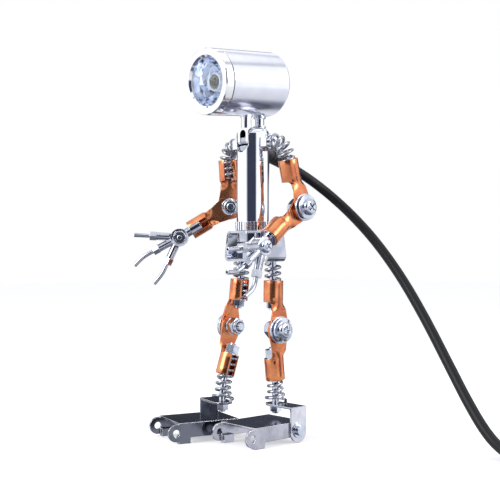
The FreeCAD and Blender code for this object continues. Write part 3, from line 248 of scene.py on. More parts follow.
soft_light("left_softbox", -62, 0.55, 0.95, 0.7, 7)
soft_light("right_softbox", 66, 0.4, 1.0, 0.5, 4)


# Chromed brass and steel: the body tube, posts, couplings, pelvis and hands. Mirror bright, with
# a few fine rub marks, and every edge broken so that it catches a line of light.
def metal(name, colour, roughness, grain, edge=0.25 * MM, scratch=0.0, stretch=(1, 1, 1),
          rim=None):
    """A metal whose colour drifts, unevenly rubbed, with its edges broken, and a painted highlight
    along them when a rim colour is given.
    """
    made = bpy.data.materials.new(name)
    made.use_nodes = True
    tree = made.node_tree
    shader = tree.nodes["Principled BSDF"]
    base = Shade(tree, None)
    place = base.node("ShaderNodeTexCoord", output=3)
    patches = place.node("ShaderNodeTexNoise", {"Vector": place, "Scale": 90.0, "Detail": 3.0})
    scaled = place.node("ShaderNodeVectorMath", {0: place, 1: stretch}, operation="MULTIPLY")
    fine = place.node("ShaderNodeTexNoise", {"Vector": scaled, "Scale": 900.0, "Detail": 4.0,
                                             "Roughness": 0.6})
    light, dark = colour
    tone = patches.step(0.35, 0.65).mix(dark, light)
    rough = roughness + (fine - 0.5) * grain + (patches - 0.5) * (grain * 0.5)
    broken = base.node("ShaderNodeBevel", {"Radius": edge}, samples=4)
    normal = base.node("ShaderNodeBump", {"Strength": scratch, "Distance": 0.02 * MM,
                                          "Height": fine, "Normal": broken})
    # Painted highlight: the rim colour laid along the edges, where the rounded normal leaves the
    # flat face.
    if rim:
        flat = base.node("ShaderNodeNewGeometry", output="Normal")
        level = base.node("ShaderNodeVectorMath", {0: broken, 1: flat}, output=1,
                          operation="DOT_PRODUCT")
        tone = (1 - level).step(0.01, 0.10).mix(tone, rim)
    shader.inputs["Metallic"].default_value = 1.0
    tree.links.new(tone.socket, shader.inputs["Base Color"])
    tree.links.new(rough.socket, shader.inputs["Roughness"])
    tree.links.new(normal.socket, shader.inputs["Normal"])
    return made


def dress(material, *names):
    """Give carried-over pieces their finish."""
    for name in names:
        mesh = nodes[name].data
        mesh.materials.clear()
        mesh.materials.append(material)


chrome = metal("polished_chrome", ((0.90, 0.91, 0.94), (0.84, 0.85, 0.89)), 0.045, 0.03)
dress(chrome, "torso_tube", "shoulder_couplings", "knurled_ring", "neck_post", "switch_bezel")
# A darker copy of the chrome, as painted shade, with a painted highlight along every edge.
chrome_painted_shade_and_edges = metal("chrome_painted_shade_and_edges", ((0.56, 0.58, 0.65), (0.40, 0.42, 0.49)), 0.09, 0.05,
                    edge=0.5 * MM, rim=(0.93, 0.94, 0.97))
dress(chrome_painted_shade_and_edges, "pelvis_frame", "neck_block", "waist_locknut", "rear_post")
for word in SIDES:
    dress(chrome_painted_shade_and_edges, f"wrist_eye_{word}", f"hand_{word}", f"fingers_{word}")


# Spotlight head: a turned aluminium can with a satin skin and a polished front ring. Fine lathe
# lines run around both.
satin = metal("satin_aluminium", ((0.88, 0.89, 0.98), (0.84, 0.85, 0.95)), 0.17, 0.05,
              edge=0.5 * MM, scratch=0.2, stretch=(0.15, 3.0, 0.15))
polished = metal("polished_ring", ((0.97, 0.97, 0.99), (0.94, 0.94, 0.97)), 0.08, 0.03,
                 edge=0.4 * MM, scratch=0.05, stretch=(0.2, 2.0, 0.2))
dress(satin, "lamp_housing", "heat_sink")
dress(polished, "front_bezel")


def plain(name, colour, roughness, bump=0.0, scale=600.0, **values):
    """A moulded or drawn surface with a faint grain."""
    made = bpy.data.materials.new(name)
    made.use_nodes = True
    tree = made.node_tree
    shader = tree.nodes["Principled BSDF"]
    base = Shade(tree, None)
    place = base.node("ShaderNodeTexCoord", output=3)
    grain = place.node("ShaderNodeTexNoise", {"Vector": place, "Scale": scale, "Detail": 4.0})
    tone = grain.mix(grey(0.85, colour), grey(1.15, colour))
    tree.links.new(tone.socket, shader.inputs["Base Color"])
    tree.links.new((roughness + (grain - 0.5) * 0.15).socket, shader.inputs["Roughness"])
    normal = base.node("ShaderNodeBump", {"Strength": bump, "Distance": 0.05 * MM,
                                          "Height": grain})
    tree.links.new(normal.socket, shader.inputs["Normal"])
    for key, value in values.items():
        shader.inputs[key.replace("_", " ")].default_value = value
    return made


rubber = plain("gasket_rubber", (0.012, 0.012, 0.015), 0.6, bump=0.3)
board_white = plain("board_white", (0.8, 0.82, 0.84), 0.5)
black_plastic = plain("black_plastic", (0.016, 0.016, 0.018), 0.42, bump=0.3, scale=1500.0)
dress(rubber, "bezel_gasket")
dress(board_white, "led_board")
dress(black_plastic, "switch_button")

clear = bpy.data.materials.new("clear_glass")
clear.use_nodes = True
clear_shader = clear.node_tree.nodes["Principled BSDF"]
clear_tree = Shade(clear.node_tree, None)
smear = clear_tree.node("ShaderNodeTexNoise", {"Scale": 60.0, "Detail": 2.0})
clear.node_tree.links.new((0.015 + smear * 0.02).socket, clear_shader.inputs["Roughness"])
clear_shader.inputs["Base Color"].default_value = (0.93, 0.96, 1.0, 1)
clear_shader.inputs["Transmission Weight"].default_value = 1.0
clear_shader.inputs["IOR"].default_value = 1.3
dress(clear, "cover_glass")


def mesh_piece(name, vertices, faces, material, body, smooth=True, slot=None):
    """A new piece from points and faces, riding on a body."""
    mesh = bpy.data.meshes.new(name)
    mesh.from_pydata([tuple(vertex) for vertex in vertices], [], faces)
    mesh.validate()
    mesh.materials.append(material)
    if smooth:
        mesh.shade_smooth()
    piece = bpy.data.objects.new(name, mesh)
    bpy.context.scene.collection.objects.link(piece)
    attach(piece, body)
    return piece


def lathe(profile, place, count=48, flat=False):
    """Points and faces of a profile of (radius, height) turned about Z, then put in its place."""
    vertices, rings, faces = [], [], []
    for radius, height in profile:
        if radius == 0:
            rings.append([len(vertices)])
            vertices.append(place @ Vector((0, 0, height)))
        else:
            rings.append(list(range(len(vertices), len(vertices) + count)))
            for i in range(count):
                angle = 2 * pi * i / count
                spot = Vector((radius * cos(angle), radius * sin(angle), height))
                vertices.append(place @ spot)
    for first, last in zip(rings, rings[1:]):
        for i in range(count):
            j = (i + 1) % count
            corners = [first[i % len(first)], first[j % len(first)],
                       last[j % len(last)], last[i % len(last)]]
            faces.append(tuple(dict.fromkeys(corners)))
    return vertices, faces


def placed(point, z_way, x_way=None):
    """A place with its Z along one direction, and X near another."""
    z_way = Vector(z_way).normalized()
    x_way = Vector(x_way) if x_way is not None else z_way.orthogonal()
    y_way = z_way.cross(x_way).normalized()
    x_way = y_way.cross(z_way)
    turned = Matrix((x_way, y_way, z_way)).transposed().to_4x4()
    return Matrix.Translation(Vector(point)) @ turned


def merged(parts):
    """Several sets of points and faces as one."""
    vertices, faces = [], []
    for more_vertices, more_faces in parts:
        shift = len(vertices)
        vertices += more_vertices
        faces += [tuple(index + shift for index in face) for face in more_faces]
    return vertices, faces


# Reflector and lens: a pressed cup with rows of mirror facets, and a moulded lens with a white
# rim in the middle of it. Both sit square in the head, whose axis nods towards the table.
HEAD_AXIS = 264.0 * MM
HEAD_NOD = radians(4.5)
NECK_SETBACK = 46.5 * MM
GLASS_BACK = 4.5 * MM
CUP_DEPTH = 15.0 * MM
CUP_RADIUS = 20.3 * MM
CUP_RIM = 1.2 * MM
CUP_NECK = 9.4 * MM
ROWS, FACETS = 3, 10
head_place = (Matrix.Translation(BODY_AXIS + Vector((0, 0, HEAD_AXIS)))
              @ Matrix.Rotation(HEAD_NOD, 4, "X") @ Matrix.Translation((0, -NECK_SETBACK, 0))
              @ Matrix.Rotation(-pi / 2, 4, "X"))
cup_place = head_place @ Matrix.Translation((0, 0, GLASS_BACK))
rings = []
for row in range(ROWS + 1):
    share = row / ROWS
    rings.append((CUP_NECK + (CUP_RADIUS - CUP_RIM - CUP_NECK) * (1 - share) ** 0.62,
                  CUP_DEPTH * share ** 1.15))
cup_points, cup_faces = [], []
for row in range(ROWS):
    (wide, near), (tight, far) = rings[row], rings[row + 1]
    for i in range(FACETS):
        middle = 2 * pi * (i + 0.5 * (row % 2)) / FACETS
        half = pi / FACETS
        corners = []
        for radius, depth, angle in ((wide, near, -half), (wide, near, half),
                                     (tight, far, half), (tight, far, -half)):
            corners.append(cup_place @ Vector((radius * cos(middle + angle),
                                               radius * sin(middle + angle), depth)))
        start = len(cup_points)
        cup_points += corners
        cup_faces.append((start, start + 3, start + 2, start + 1))
flat_rim = lathe([(CUP_RADIUS, 0), (CUP_RADIUS - CUP_RIM, 0)], cup_place)
mirror = metal("facet_mirror", ((0.88, 0.92, 1.0), (0.60, 0.68, 0.86)), 0.06, 0.04, edge=0.1 * MM)
reflector = mesh_piece("faceted_reflector", *merged([(cup_points, cup_faces), flat_rim]), mirror,
                       "head", smooth=False, slot="mirror_coat")
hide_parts("reflector")

LENS_RADIUS = 6.8 * MM
LENS_LENGTH = 13.0 * MM
lens_place = (cup_place @ Matrix.Translation((0, 0, CUP_DEPTH)) @ Matrix.Rotation(pi, 4, "X"))
dome = [(LENS_RADIUS * 0.78 * sin(radians(a)), LENS_LENGTH * (0.72 + 0.28 * cos(radians(a))))
        for a in range(90, -1, -10)]
dome[-1] = (0, LENS_LENGTH)
lens = mesh_piece("led_lens_dome", *lathe([(LENS_RADIUS * 0.78, 0), *dome], lens_place, 40), clear,
                  "head", slot="clear_glass")
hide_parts("led_lens")
holder_profile = [(LENS_RADIUS * 0.80, 0), (LENS_RADIUS * 0.80, LENS_LENGTH * 0.78),
                  (LENS_RADIUS * 0.88, LENS_LENGTH * 0.84), (LENS_RADIUS, LENS_LENGTH * 0.76),
                  (LENS_RADIUS, 0)]
holder_white = plain("lens_holder_white", (0.82, 0.84, 0.88), 0.35)
mesh_piece("lens_holder", *lathe(holder_profile, lens_place, 40), holder_white, "head",
           slot="white_board")
chip_yellow = plain("led_chip_yellow", (0.75, 0.62, 0.22), 0.4)
chip = [(0, 1.4 * MM), (2.2 * MM, 1.2 * MM), (2.8 * MM, 0.4 * MM), (2.8 * MM, 0)]
mesh_piece("led_chip", *lathe(chip, lens_place, 24), chip_yellow, "head", slot="white_board")


# Crimp lugs: copper tube split along one side at the barrel, and pressed flat beyond it into a
# tongue with an eye. The press leaves a dished shoulder between them. Copper plated and bright;
# its colour is set darker, with darker, redder patches scattered at random, as painted shade for
# the darker reflections.
LUG_THICK = 1.4 * MM
BARREL_WALL = 1.5 * MM
BARREL_RADIUS = 8.0 * MM
BARREL_LENGTH = 16.0 * MM
BARREL_SLIT = 7.0 * MM
EYE_RADIUS = 9.3 * MM
WAIST_HALF = 6.6 * MM
LUG_REACH = 20.0 * MM
SHIN_REACH = 21.5 * MM
SHOULDER_LENGTH = 7.0 * MM
FLARE = 1.9 * MM
FLARE_START = 0.6
EDGE_ROLL = 0.22 * MM
SHEET_STRIPS = 40
# Painted shade: a darkened copper colour, with darker patches mixed in at random.
copper = metal("copper_plate", ((0.82, 0.31, 0.135), (0.62, 0.19, 0.09)), 0.22, 0.03,
               edge=0.3 * MM, scratch=0.02)


def lug_rows(reach):
    """Height, half width and bend of the sheet, from the tip of the eye to the barrel's end."""
    rows = []
    for i in range(17):
        angle = radians(-90 + 90 * i / 16)
        rows.append((EYE_RADIUS * sin(angle), max(EYE_RADIUS * cos(angle), 0.05 * MM), 0.0))
    begin = reach - SHOULDER_LENGTH
    for i in range(1, 7):
        share = i / 6
        rows.append((begin * share, EYE_RADIUS + (WAIST_HALF - EYE_RADIUS) * share ** 1.2, 0.0))
    full = 1 / (BARREL_RADIUS - BARREL_WALL / 2)
    for i in range(1, 9):
        share = i / 8
        flare = FLARE * (max(0.0, share - FLARE_START) / (1 - FLARE_START)) ** 2
        rows.append((begin + SHOULDER_LENGTH * share, WAIST_HALF + flare,
                     full * share * share * (3 - 2 * share)))
    around = pi / full - BARREL_SLIT / 2
    for share in (0.012, 0.25, 0.5, 0.75, 1.0):
        rows.append((reach + BARREL_LENGTH * share, around, full))
    return rows


def crimp_lug(name, place, reach, body):
    """The lug's sheet, with its outer face against X = 0 at the tongue."""
    vertices, faces = [], []
    for height, half, bend in lug_rows(reach):
        for i in range(SHEET_STRIPS + 1):
            s = half * (2 * i / SHEET_STRIPS - 1)
            if bend:
                x, y = -(1 - cos(s * bend)) / bend, sin(s * bend) / bend
            else:
                x, y = 0.0, s
            vertices.append(place @ Vector((x, y, height)))
    stride = SHEET_STRIPS + 1
    for row in range(len(vertices) // stride - 1):
        for i in range(SHEET_STRIPS):
            a = row * stride + i
            faces.append((a, a + 1, a + 1 + stride, a + stride))
    piece = mesh_piece(f"{name}_sheet", vertices, faces, copper, body, slot="copper_plate")
    shell = piece.modifiers.new("sheet", "SOLIDIFY")
    shell.thickness = LUG_THICK
    shell.offset = -1
    edges = piece.modifiers.new("edges", "BEVEL")
    edges.width, edges.segments, edges.limit_method = EDGE_ROLL, 2, "ANGLE"
    edges.angle_limit = radians(50)
    piece.data.shade_smooth()
    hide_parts(name)


SECOND_LUG = -1.45 * MM
THIGH_LEAN = {"left": 1.0, "right": 7.0}
SHIN_LEAN = {"left": -6.0, "right": 19.0}


def vector(values):
    """A vector from the frame's own numbers."""
    return Vector([float(value) for value in values])


def joint_point(name):
    """Where a joint turns."""
    return vector(joints[name]["pos_m"])


def joint_way(name):
    """The direction of a joint's axis."""
    return vector(joints[name]["axis"])


limb_places = {}
for word, side in SIDES.items():
    outward = Vector((side, 0, 0))
    elbow_out = joint_way(f"elbow_{word}") * side
    elbow = joint_point(f"elbow_{word}")
    upper = placed(elbow, joint_way(f"arm_turn_{word}"), elbow_out)
    low_start = elbow + elbow_out * SECOND_LUG
    low_way = (joint_point(f"wrist_{word}") + elbow_out * BARREL_RADIUS - low_start)
    fore = placed(low_start, low_way, elbow_out)
    knee = joint_point(f"knee_{word}")
    thigh_lean, shin_lean = radians(THIGH_LEAN[word]), radians(SHIN_LEAN[word])
    thigh = placed(knee, (0, sin(thigh_lean), cos(thigh_lean)), outward)
    shin = placed(knee + outward * SECOND_LUG, (0, -sin(shin_lean), -cos(shin_lean)), outward)
    limb_places[word] = {"upper": upper, "fore": fore, "thigh": thigh, "shin": shin}
    crimp_lug(f"upper_arm_lug_{word}", upper, LUG_REACH, f"upper_arm_{word}")
    crimp_lug(f"forearm_lug_{word}", fore, LUG_REACH, f"forearm_{word}")
    crimp_lug(f"thigh_lug_{word}", thigh, LUG_REACH, "pelvis")
    crimp_lug(f"shin_lug_{word}", shin, SHIN_REACH, f"shin_{word}")


# Springs: bright drawn wire, coloured darker than the steel as painted shade. Those at the
# shoulders carry the arms and bend from the coupling into the upper lug; those at the hips and
# ankles are threaded over the leg's rods, and the ankle's ends in a cone on its bracket.
ROD_END = 1.5 * MM
SEAT_WASHER = 1.0 * MM
WIRE_RADIUS = 1.1 * MM
COIL_RADIUS = 5.2 * MM
CONE_RADIUS = 8.1 * MM
SEAT = 0.2 * MM
# Painted shade: the wire's colour is darkened to stand for the dark reflections between its
# highlights.
spring_steel = metal("spring_wire", ((0.50, 0.51, 0.56), (0.28, 0.29, 0.33)), 0.07, 0.03,
                     edge=0.05 * MM)


class Bent:
    """A centre line of straight runs and arcs in one plane, drawn like a pen's path."""

    def __init__(self, point, way, side):
        self.point, self.way, self.side = Vector(point), Vector(way), Vector(side)
        self.parts, self.length = [], 0.0

    def run(self, length):
        """Straight on."""
        self.parts.append((self.length, self.point, self.way, self.side, 0.0))
        self.point = self.point + self.way * length
        self.length += length
        return self

    def bend(self, radius, angle):
        """Round an arc towards the side."""
        self.parts.append((self.length, self.point, self.way, self.side, 1 / radius))
        self.point = (self.point + self.way * (radius * sin(angle))
                      + self.side * (radius * (1 - cos(angle))))
        way = self.way * cos(angle) + self.side * sin(angle)
        self.way, self.side = way, self.side * cos(angle) - self.way * sin(angle)
        self.length += radius * angle
        return self

    def at(self, distance):
        """The point, direction and side at a distance along the line."""
        begin, point, way, side, curve = [part for part in self.parts
                                          if part[0] <= distance + 1e-12][-1]
        run = distance - begin
        if not curve:
            return point + way * run, way, side
        angle = run * curve
        spot = point + way * (sin(angle) / curve) + side * ((1 - cos(angle)) / curve)
        return spot, way * cos(angle) + side * sin(angle), side * cos(angle) - way * sin(angle)


def curve_piece(name, points, radius, material, body, kind="BEZIER", smooth=6):
    """A round wire through points."""
    data = bpy.data.curves.new(name, "CURVE")
    data.dimensions = "3D"
    data.bevel_depth, data.bevel_resolution, data.use_fill_caps = radius, smooth, True
    spline = data.splines.new(kind)
    if kind == "BEZIER":
        spline.bezier_points.add(len(points) - 1)
        for knot, point in zip(spline.bezier_points, points):
            knot.co = point
            knot.handle_left_type = knot.handle_right_type = "AUTO"
        data.resolution_u = 5
    else:
        spline.points.add(len(points) - 1)
        for knot, point in zip(spline.points, points):
            knot.co = (*point, 1)
        spline.order_u = 3
        spline.use_endpoint_u = True
        data.resolution_u = 8
    data.materials.append(material)
    piece = bpy.data.objects.new(name, data)
    bpy.context.scene.collection.objects.link(piece)
    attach(piece, body)
    return piece


def spring(name, line, begin, end, pitch, body, cone_turns=0.0):
    """Wire wound about a line, eight knots to a turn."""
    normal = line.at(begin)[1].cross(line.at(begin)[2])
    count = round((end - begin) / pitch * 8)
    points = []
    for i in range(count + 1):
        distance = begin + (end - begin) * i / count
        spot, way, side = line.at(distance)
        across = way.cross(side)
        if across.dot(normal) < 0:
            side, across = -side, -across
        angle = 2 * pi * (distance - begin) / pitch
        radius = COIL_RADIUS
        if cone_turns:
            cone = max(0.0, distance - end + cone_turns * pitch) / (cone_turns * pitch)
            radius += (CONE_RADIUS - COIL_RADIUS) * cone
        points.append(spot + (side * cos(angle) + across * sin(angle)) * radius)
    piece = curve_piece(f"{name}_wire", points, WIRE_RADIUS, spring_steel, body)
    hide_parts(name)


ARM_SIDE = 31.5 * MM
ARM_BEND = 11.0 * MM
COUPLING_END = 18.8 * MM
UPPER_ARM = {"left": 50.0 * MM, "right": 46.0 * MM}
SHOULDER_PITCH = 4.5 * MM
LEG_PITCH = 4.5 * MM
PELVIS_WALL = 1.8 * MM
HIP_SIDE = 17.5 * MM
HIP_BACK = 4.0 * MM
ROD_NUT = 4.5 * MM
HIP_BEND = 14.0 * MM
SHIN_NUT = 6.5 * MM
BRACKET_TOP = 26.0 * MM
FRONT, DOWN = Vector((0, -1, 0)), Vector((0, 0, -1))
pelvis_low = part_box("pelvis_frame")[0].z
leg_lines = {}
for word, side in SIDES.items():
    outward = Vector((side, 0, 0))
    shoulder = joint_point(f"shoulder_swing_{word}")
    first = COUPLING_END + SEAT + WIRE_RADIUS
    line = Bent(shoulder + outward * first, outward, -joint_way(f"arm_turn_{word}"))
    line.run(ARM_SIDE - ARM_BEND - first).bend(ARM_BEND, pi / 2)
    line.run(UPPER_ARM[word] - LUG_REACH - ARM_BEND - WIRE_RADIUS)
    spring(f"shoulder_spring_{word}", line, 0.0, line.length, SHOULDER_PITCH, f"shoulder_{word}")

    inside = PELVIS_WALL + SEAT + ROD_NUT + ROD_END
    lean = radians(THIGH_LEAN[word])
    hip = BODY_AXIS + Vector((side * HIP_SIDE, HIP_BACK, pelvis_low + inside))
    hip_line = Bent(hip, DOWN, FRONT).run(inside).bend(HIP_BEND / lean, lean)
    hip_line.run(BARREL_LENGTH + ROD_NUT + ROD_END)
    washer_top = inside + HIP_BEND + BARREL_LENGTH - SEAT_WASHER
    spring(f"hip_spring_{word}", hip_line, inside + SEAT + WIRE_RADIUS,
           washer_top - SEAT - WIRE_RADIUS, LEG_PITCH, "pelvis")

    lean = radians(SHIN_LEAN[word])
    shin_way = Vector((0, -sin(lean), -cos(lean)))
    bend_way = Vector((0, cos(lean), -sin(lean))) * (1 if lean > 0 else -1)
    nuts = SEAT_WASHER + SHIN_NUT + ROD_END
    top = (joint_point(f"knee_{word}") + outward * (SECOND_LUG - BARREL_RADIUS)
           + shin_way * (SHIN_REACH - nuts + SEAT_WASHER))
    ankle_line = Bent(top, shin_way, bend_way).run(nuts - SEAT_WASHER + BARREL_LENGTH)
    drop = ankle_line.point.z - BRACKET_TOP - WIRE_RADIUS
    ankle_line.bend(drop / sin(abs(lean)), abs(lean))
    flange = ankle_line.length + WIRE_RADIUS
    ankle_line.run(WIRE_RADIUS + 2 * ROD_NUT)
    spring(f"ankle_spring_{word}", ankle_line,
           ROD_END + SHIN_NUT + SEAT_WASHER + SEAT + WIRE_RADIUS, flange - SEAT - WIRE_RADIUS,
           LEG_PITCH, f"shin_{word}", cone_turns=1.5)
    leg_lines[word] = (hip_line, ankle_line)


# Bolts: zinc plated, with a bright blue-white tint. At each elbow and knee a pan head with a
# cross recess clamps two big washers and a spacer outside, and a locking nut with a nylon ring
# holds it inside.
# The zinc's rim colour is a painted highlight along its edges.
zinc = metal("bright_zinc", ((0.72, 0.75, 0.82), (0.52, 0.56, 0.65)), 0.12, 0.05, edge=0.25 * MM,
             scratch=0.02, rim=(0.92, 0.94, 0.98))
nylon = plain("nylon_ring", (0.03, 0.035, 0.05), 0.4)
for word in SIDES:
    dress(zinc, f"hip_rod_{word}", f"ankle_rod_{word}", f"bracket_screw_{word}",
          f"wrist_bolt_{word}")
dress(zinc, "neck_pin")
WRIST_RADIUS = 2.0 * MM
WRIST_WASHER = 6.9 * MM
WRIST_HEAD = 5.0 * MM
WRIST_HEAD_HEIGHT = 3.0 * MM
WRIST_PLATE = 4.0 * MM
WRIST_FLATS = 10.0 * MM
WRIST_NUT = 4.2 * MM


def disc(inner, outer, low, high, place, soft=0.25 * MM, count=56):
    """A washer with rolled edges."""
    corner = soft * 0.3
    profile = [(inner, low), (outer - soft, low), (outer - corner, low + corner),
               (outer, low + soft), (outer, high - soft), (outer - corner, high - corner),
               (outer - soft, high), (inner, high), (inner, low)]
    return lathe(profile, place, count)


def chamfered_nut(flats, bore, low, high, place, per_side=8):
    """A hexagon whose corners are turned off at both ends."""
    apothem = flats / 2
    turned = apothem * 0.985
    count = 6 * per_side
    rings = [[], [], [], [], [], []]
    for i in range(count):
        angle = 2 * pi * i / count
        off = (angle + pi / 6) % (pi / 3) - pi / 6
        radius = apothem / cos(off)
        fall = max(0.0, radius - turned) * tan(radians(30))
        for ring, (r, z) in zip(rings, ((bore, low), (turned, low), (radius, low + fall),
                                        (radius, high - fall), (turned, high), (bore, high))):
            ring.append(place @ Vector((r * cos(angle), r * sin(angle), z)))
    vertices = [vertex for ring in rings for vertex in ring]
    faces = []
    for k in range(6):
        base, following = k * count, ((k + 1) % 6) * count
        for i in range(count):
            j = (i + 1) % count
            faces.append((base + i, base + j, following + j, following + i))
    return vertices, faces


def thread(radius, low, high, place, pitch=1.0 * MM, depth=0.45 * MM):
    """The showing end of a bolt, with its thread as turned grooves."""
    profile = [(0, low), (radius - depth, low)]
    count = max(1, round((high - low) / pitch))
    for i in range(count):
        start = low + (high - low) * i / count
        profile += [(radius - depth, start + pitch * 0.1), (radius, start + pitch * 0.5)]
    profile += [(radius - depth, high), (0, high)]
    return lathe(profile, place, 32)


def cross_head(radius, height, low, place, name):
    """A pan head with a cross recess cut into its top."""
    top = low + height
    profile = [(0, low), (radius * 0.96, low), (radius, low + height * 0.12),
               (radius, low + height * 0.45), (radius * 0.94, low + height * 0.72),
               (radius * 0.80, low + height * 0.90), (radius * 0.55, low + height * 0.985),
               (radius * 0.25, top), (0, top)]
    head = bpy.data.meshes.new(name)
    turned_points, turned_faces = lathe(profile, Matrix.Identity(4), 48)
    head.from_pydata([tuple(point) for point in turned_points], [], turned_faces)
    body = bpy.data.objects.new(name, head)
    slot_half, slot_reach, deep = radius * 0.115, radius * 0.60, height * 0.62
    cutters = []
    for turn_by in (0, pi / 2):
        spin = Matrix.Rotation(turn_by, 4, "Z")
        corners = [(-slot_reach, top + height), (slot_reach, top + height),
                   (slot_reach, top - height * 0.12), (slot_reach * 0.35, top - deep),
                   (-slot_reach * 0.35, top - deep), (-slot_reach, top - height * 0.12)]
        points = [spin @ Vector((x, y, z)) for y in (-slot_half, slot_half) for x, z in corners]
        sides = [(i, (i + 1) % 6, (i + 1) % 6 + 6, i + 6) for i in range(6)]
        mesh = bpy.data.meshes.new("recess")
        mesh.from_pydata([tuple(p) for p in points], [], [tuple(range(6)), tuple(range(11, 5, -1)),
                                                           *sides])
        solid = bmesh.new()
        solid.from_mesh(mesh)
        bmesh.ops.recalc_face_normals(solid, faces=solid.faces)
        solid.to_mesh(mesh)
        solid.free()
        cutter = bpy.data.objects.new("recess", mesh)
        bpy.context.scene.collection.objects.link(cutter)
        cutters.append(cutter)
        cut = body.modifiers.new("recess", "BOOLEAN")
        cut.object, cut.operation, cut.solver = cutter, "DIFFERENCE", "EXACT"
    solid = bmesh.new()
    solid.from_mesh(head)
    bmesh.ops.recalc_face_normals(solid, faces=solid.faces)
    solid.to_mesh(head)
    solid.free()
    bpy.context.scene.collection.objects.link(body)
    view = bpy.context.evaluated_depsgraph_get()
    done = bpy.data.meshes.new_from_object(body.evaluated_get(view))
    vertices = [place @ vertex.co for vertex in done.vertices]
    faces = [tuple(face.vertices) for face in done.polygons]
    for extra in (*cutters, body):
        bpy.data.objects.remove(extra)
    return vertices, faces


def by_angle(piece, limit=35):
    """Smooth shading that keeps corners sharper than the limit."""
    piece.data.shade_smooth()
    piece.data.set_sharp_from_angle(angle=radians(limit))


BOLT_RADIUS = 3.0 * MM
WASHER_RADIUS = 10.0 * MM
FRONT_WASHER = 9.2 * MM
SPACER_RADIUS = 5.6 * MM
WASHER_THICK = 1.5 * MM
SPACER_THICK = 1.5 * MM
HEAD_RADIUS = 6.1 * MM
HEAD_HEIGHT = 3.8 * MM
SMALL_WASHER = 6.6 * MM
NUT_FLATS = 12.0 * MM
NUT_HEIGHT = 6.0 * MM
COLLAR_RADIUS = 5.4 * MM
COLLAR_HEIGHT = 2.2 * MM
BOLT_END = 1.6 * MM
GAP = 0.05 * MM


def bolt_set(name, lug_place, body, turn_by):
    """The whole stack through two lugs, from the cross head to the nylon ring."""
    place = lug_place @ Matrix.Rotation(pi / 2, 4, "Y") @ Matrix.Rotation(turn_by, 4, "Z")
    first, second = GAP, GAP + WASHER_THICK + SPACER_THICK
    pack = second + WASHER_THICK
    nut_top = -2 * LUG_THICK - 3 * GAP - SEAT_WASHER
    nut_low = nut_top - NUT_HEIGHT
    collar_low = nut_low - COLLAR_HEIGHT
    metal_parts = merged([
        disc(BOLT_RADIUS, WASHER_RADIUS, first, first + WASHER_THICK, place),
        disc(BOLT_RADIUS, SPACER_RADIUS, first + WASHER_THICK, second, place),
        disc(BOLT_RADIUS, FRONT_WASHER, second, pack, place),
        cross_head(HEAD_RADIUS, HEAD_HEIGHT, pack, place, name),
        disc(BOLT_RADIUS, SMALL_WASHER, nut_top, nut_top + SEAT_WASHER, place),
        chamfered_nut(NUT_FLATS, BOLT_RADIUS, nut_low, nut_top, place),
        lathe([(COLLAR_RADIUS * 0.98, nut_low), (COLLAR_RADIUS, nut_low - COLLAR_HEIGHT * 0.35),
               (COLLAR_RADIUS * 0.97, nut_low - COLLAR_HEIGHT * 0.75),
               (COLLAR_RADIUS * 0.86, collar_low), (COLLAR_RADIUS * 0.74, collar_low),
               (COLLAR_RADIUS * 0.72, collar_low + COLLAR_HEIGHT * 0.3)], place, 48),
        thread(BOLT_RADIUS, collar_low - BOLT_END, nut_low, place),
    ])
    piece = mesh_piece(f"{name}_stack", *metal_parts, zinc, body, slot="bolt_steel")
    by_angle(piece)
    ring = [(COLLAR_RADIUS * 0.73, collar_low + COLLAR_HEIGHT * 0.18),
            (BOLT_RADIUS, collar_low + COLLAR_HEIGHT * 0.25)]
    mesh_piece(f"{name}_ring", *lathe(ring, place, 40), nylon, body, slot="black_plastic")
    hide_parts(name)


def wrist_set(name, place, body):
    """The smaller bolt at a wrist: cross head outside, locking nut inside."""
    seat = 2 * GAP + WRIST_PLATE
    inner = -GAP - WRIST_PLATE
    nut_top = inner - SEAT_WASHER
    nut_low = nut_top - WRIST_NUT
    dome_low = nut_low + WRIST_NUT * 0.3
    parts = merged([
        disc(WRIST_RADIUS, WRIST_WASHER, seat, seat + SEAT_WASHER, place),
        cross_head(WRIST_HEAD, WRIST_HEAD_HEIGHT, seat + SEAT_WASHER, place, name),
        disc(WRIST_RADIUS, WRIST_WASHER, inner - SEAT_WASHER, inner, place),
        chamfered_nut(WRIST_FLATS, WRIST_RADIUS, dome_low, nut_top, place),
        lathe([(WRIST_FLATS * 0.47, dome_low), (WRIST_FLATS * 0.45, nut_low),
               (WRIST_FLATS * 0.36, nut_low), (WRIST_FLATS * 0.34, nut_low + 0.5 * MM)],
              place, 40),
        thread(WRIST_RADIUS, nut_low - ROD_END / 2, inner, place),
        lathe([(WRIST_RADIUS, inner), (WRIST_RADIUS, seat)], place, 32),
    ])
    piece = mesh_piece(f"{name}_stack", *parts, zinc, body, slot="bolt_steel")
    by_angle(piece)
    ring = [(WRIST_FLATS * 0.35, nut_low + 0.4 * MM), (WRIST_RADIUS, nut_low + 0.5 * MM)]
    mesh_piece(f"{name}_ring", *lathe(ring, place, 40), nylon, body, slot="black_plastic")
    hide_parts(name)


for index, (word, side) in enumerate(SIDES.items()):
    places = limb_places[word]
    wrist_place = placed(joint_point(f"wrist_{word}"), joint_way(f"wrist_{word}") * side)
    wrist_set(f"wrist_bolt_{word}", wrist_place, f"forearm_{word}")
    bolt_set(f"elbow_bolt_{word}", places["upper"], f"upper_arm_{word}", 0.5 + index)
    bolt_set(f"knee_bolt_{word}", places["thigh"], "pelvis", 0.2 - index)


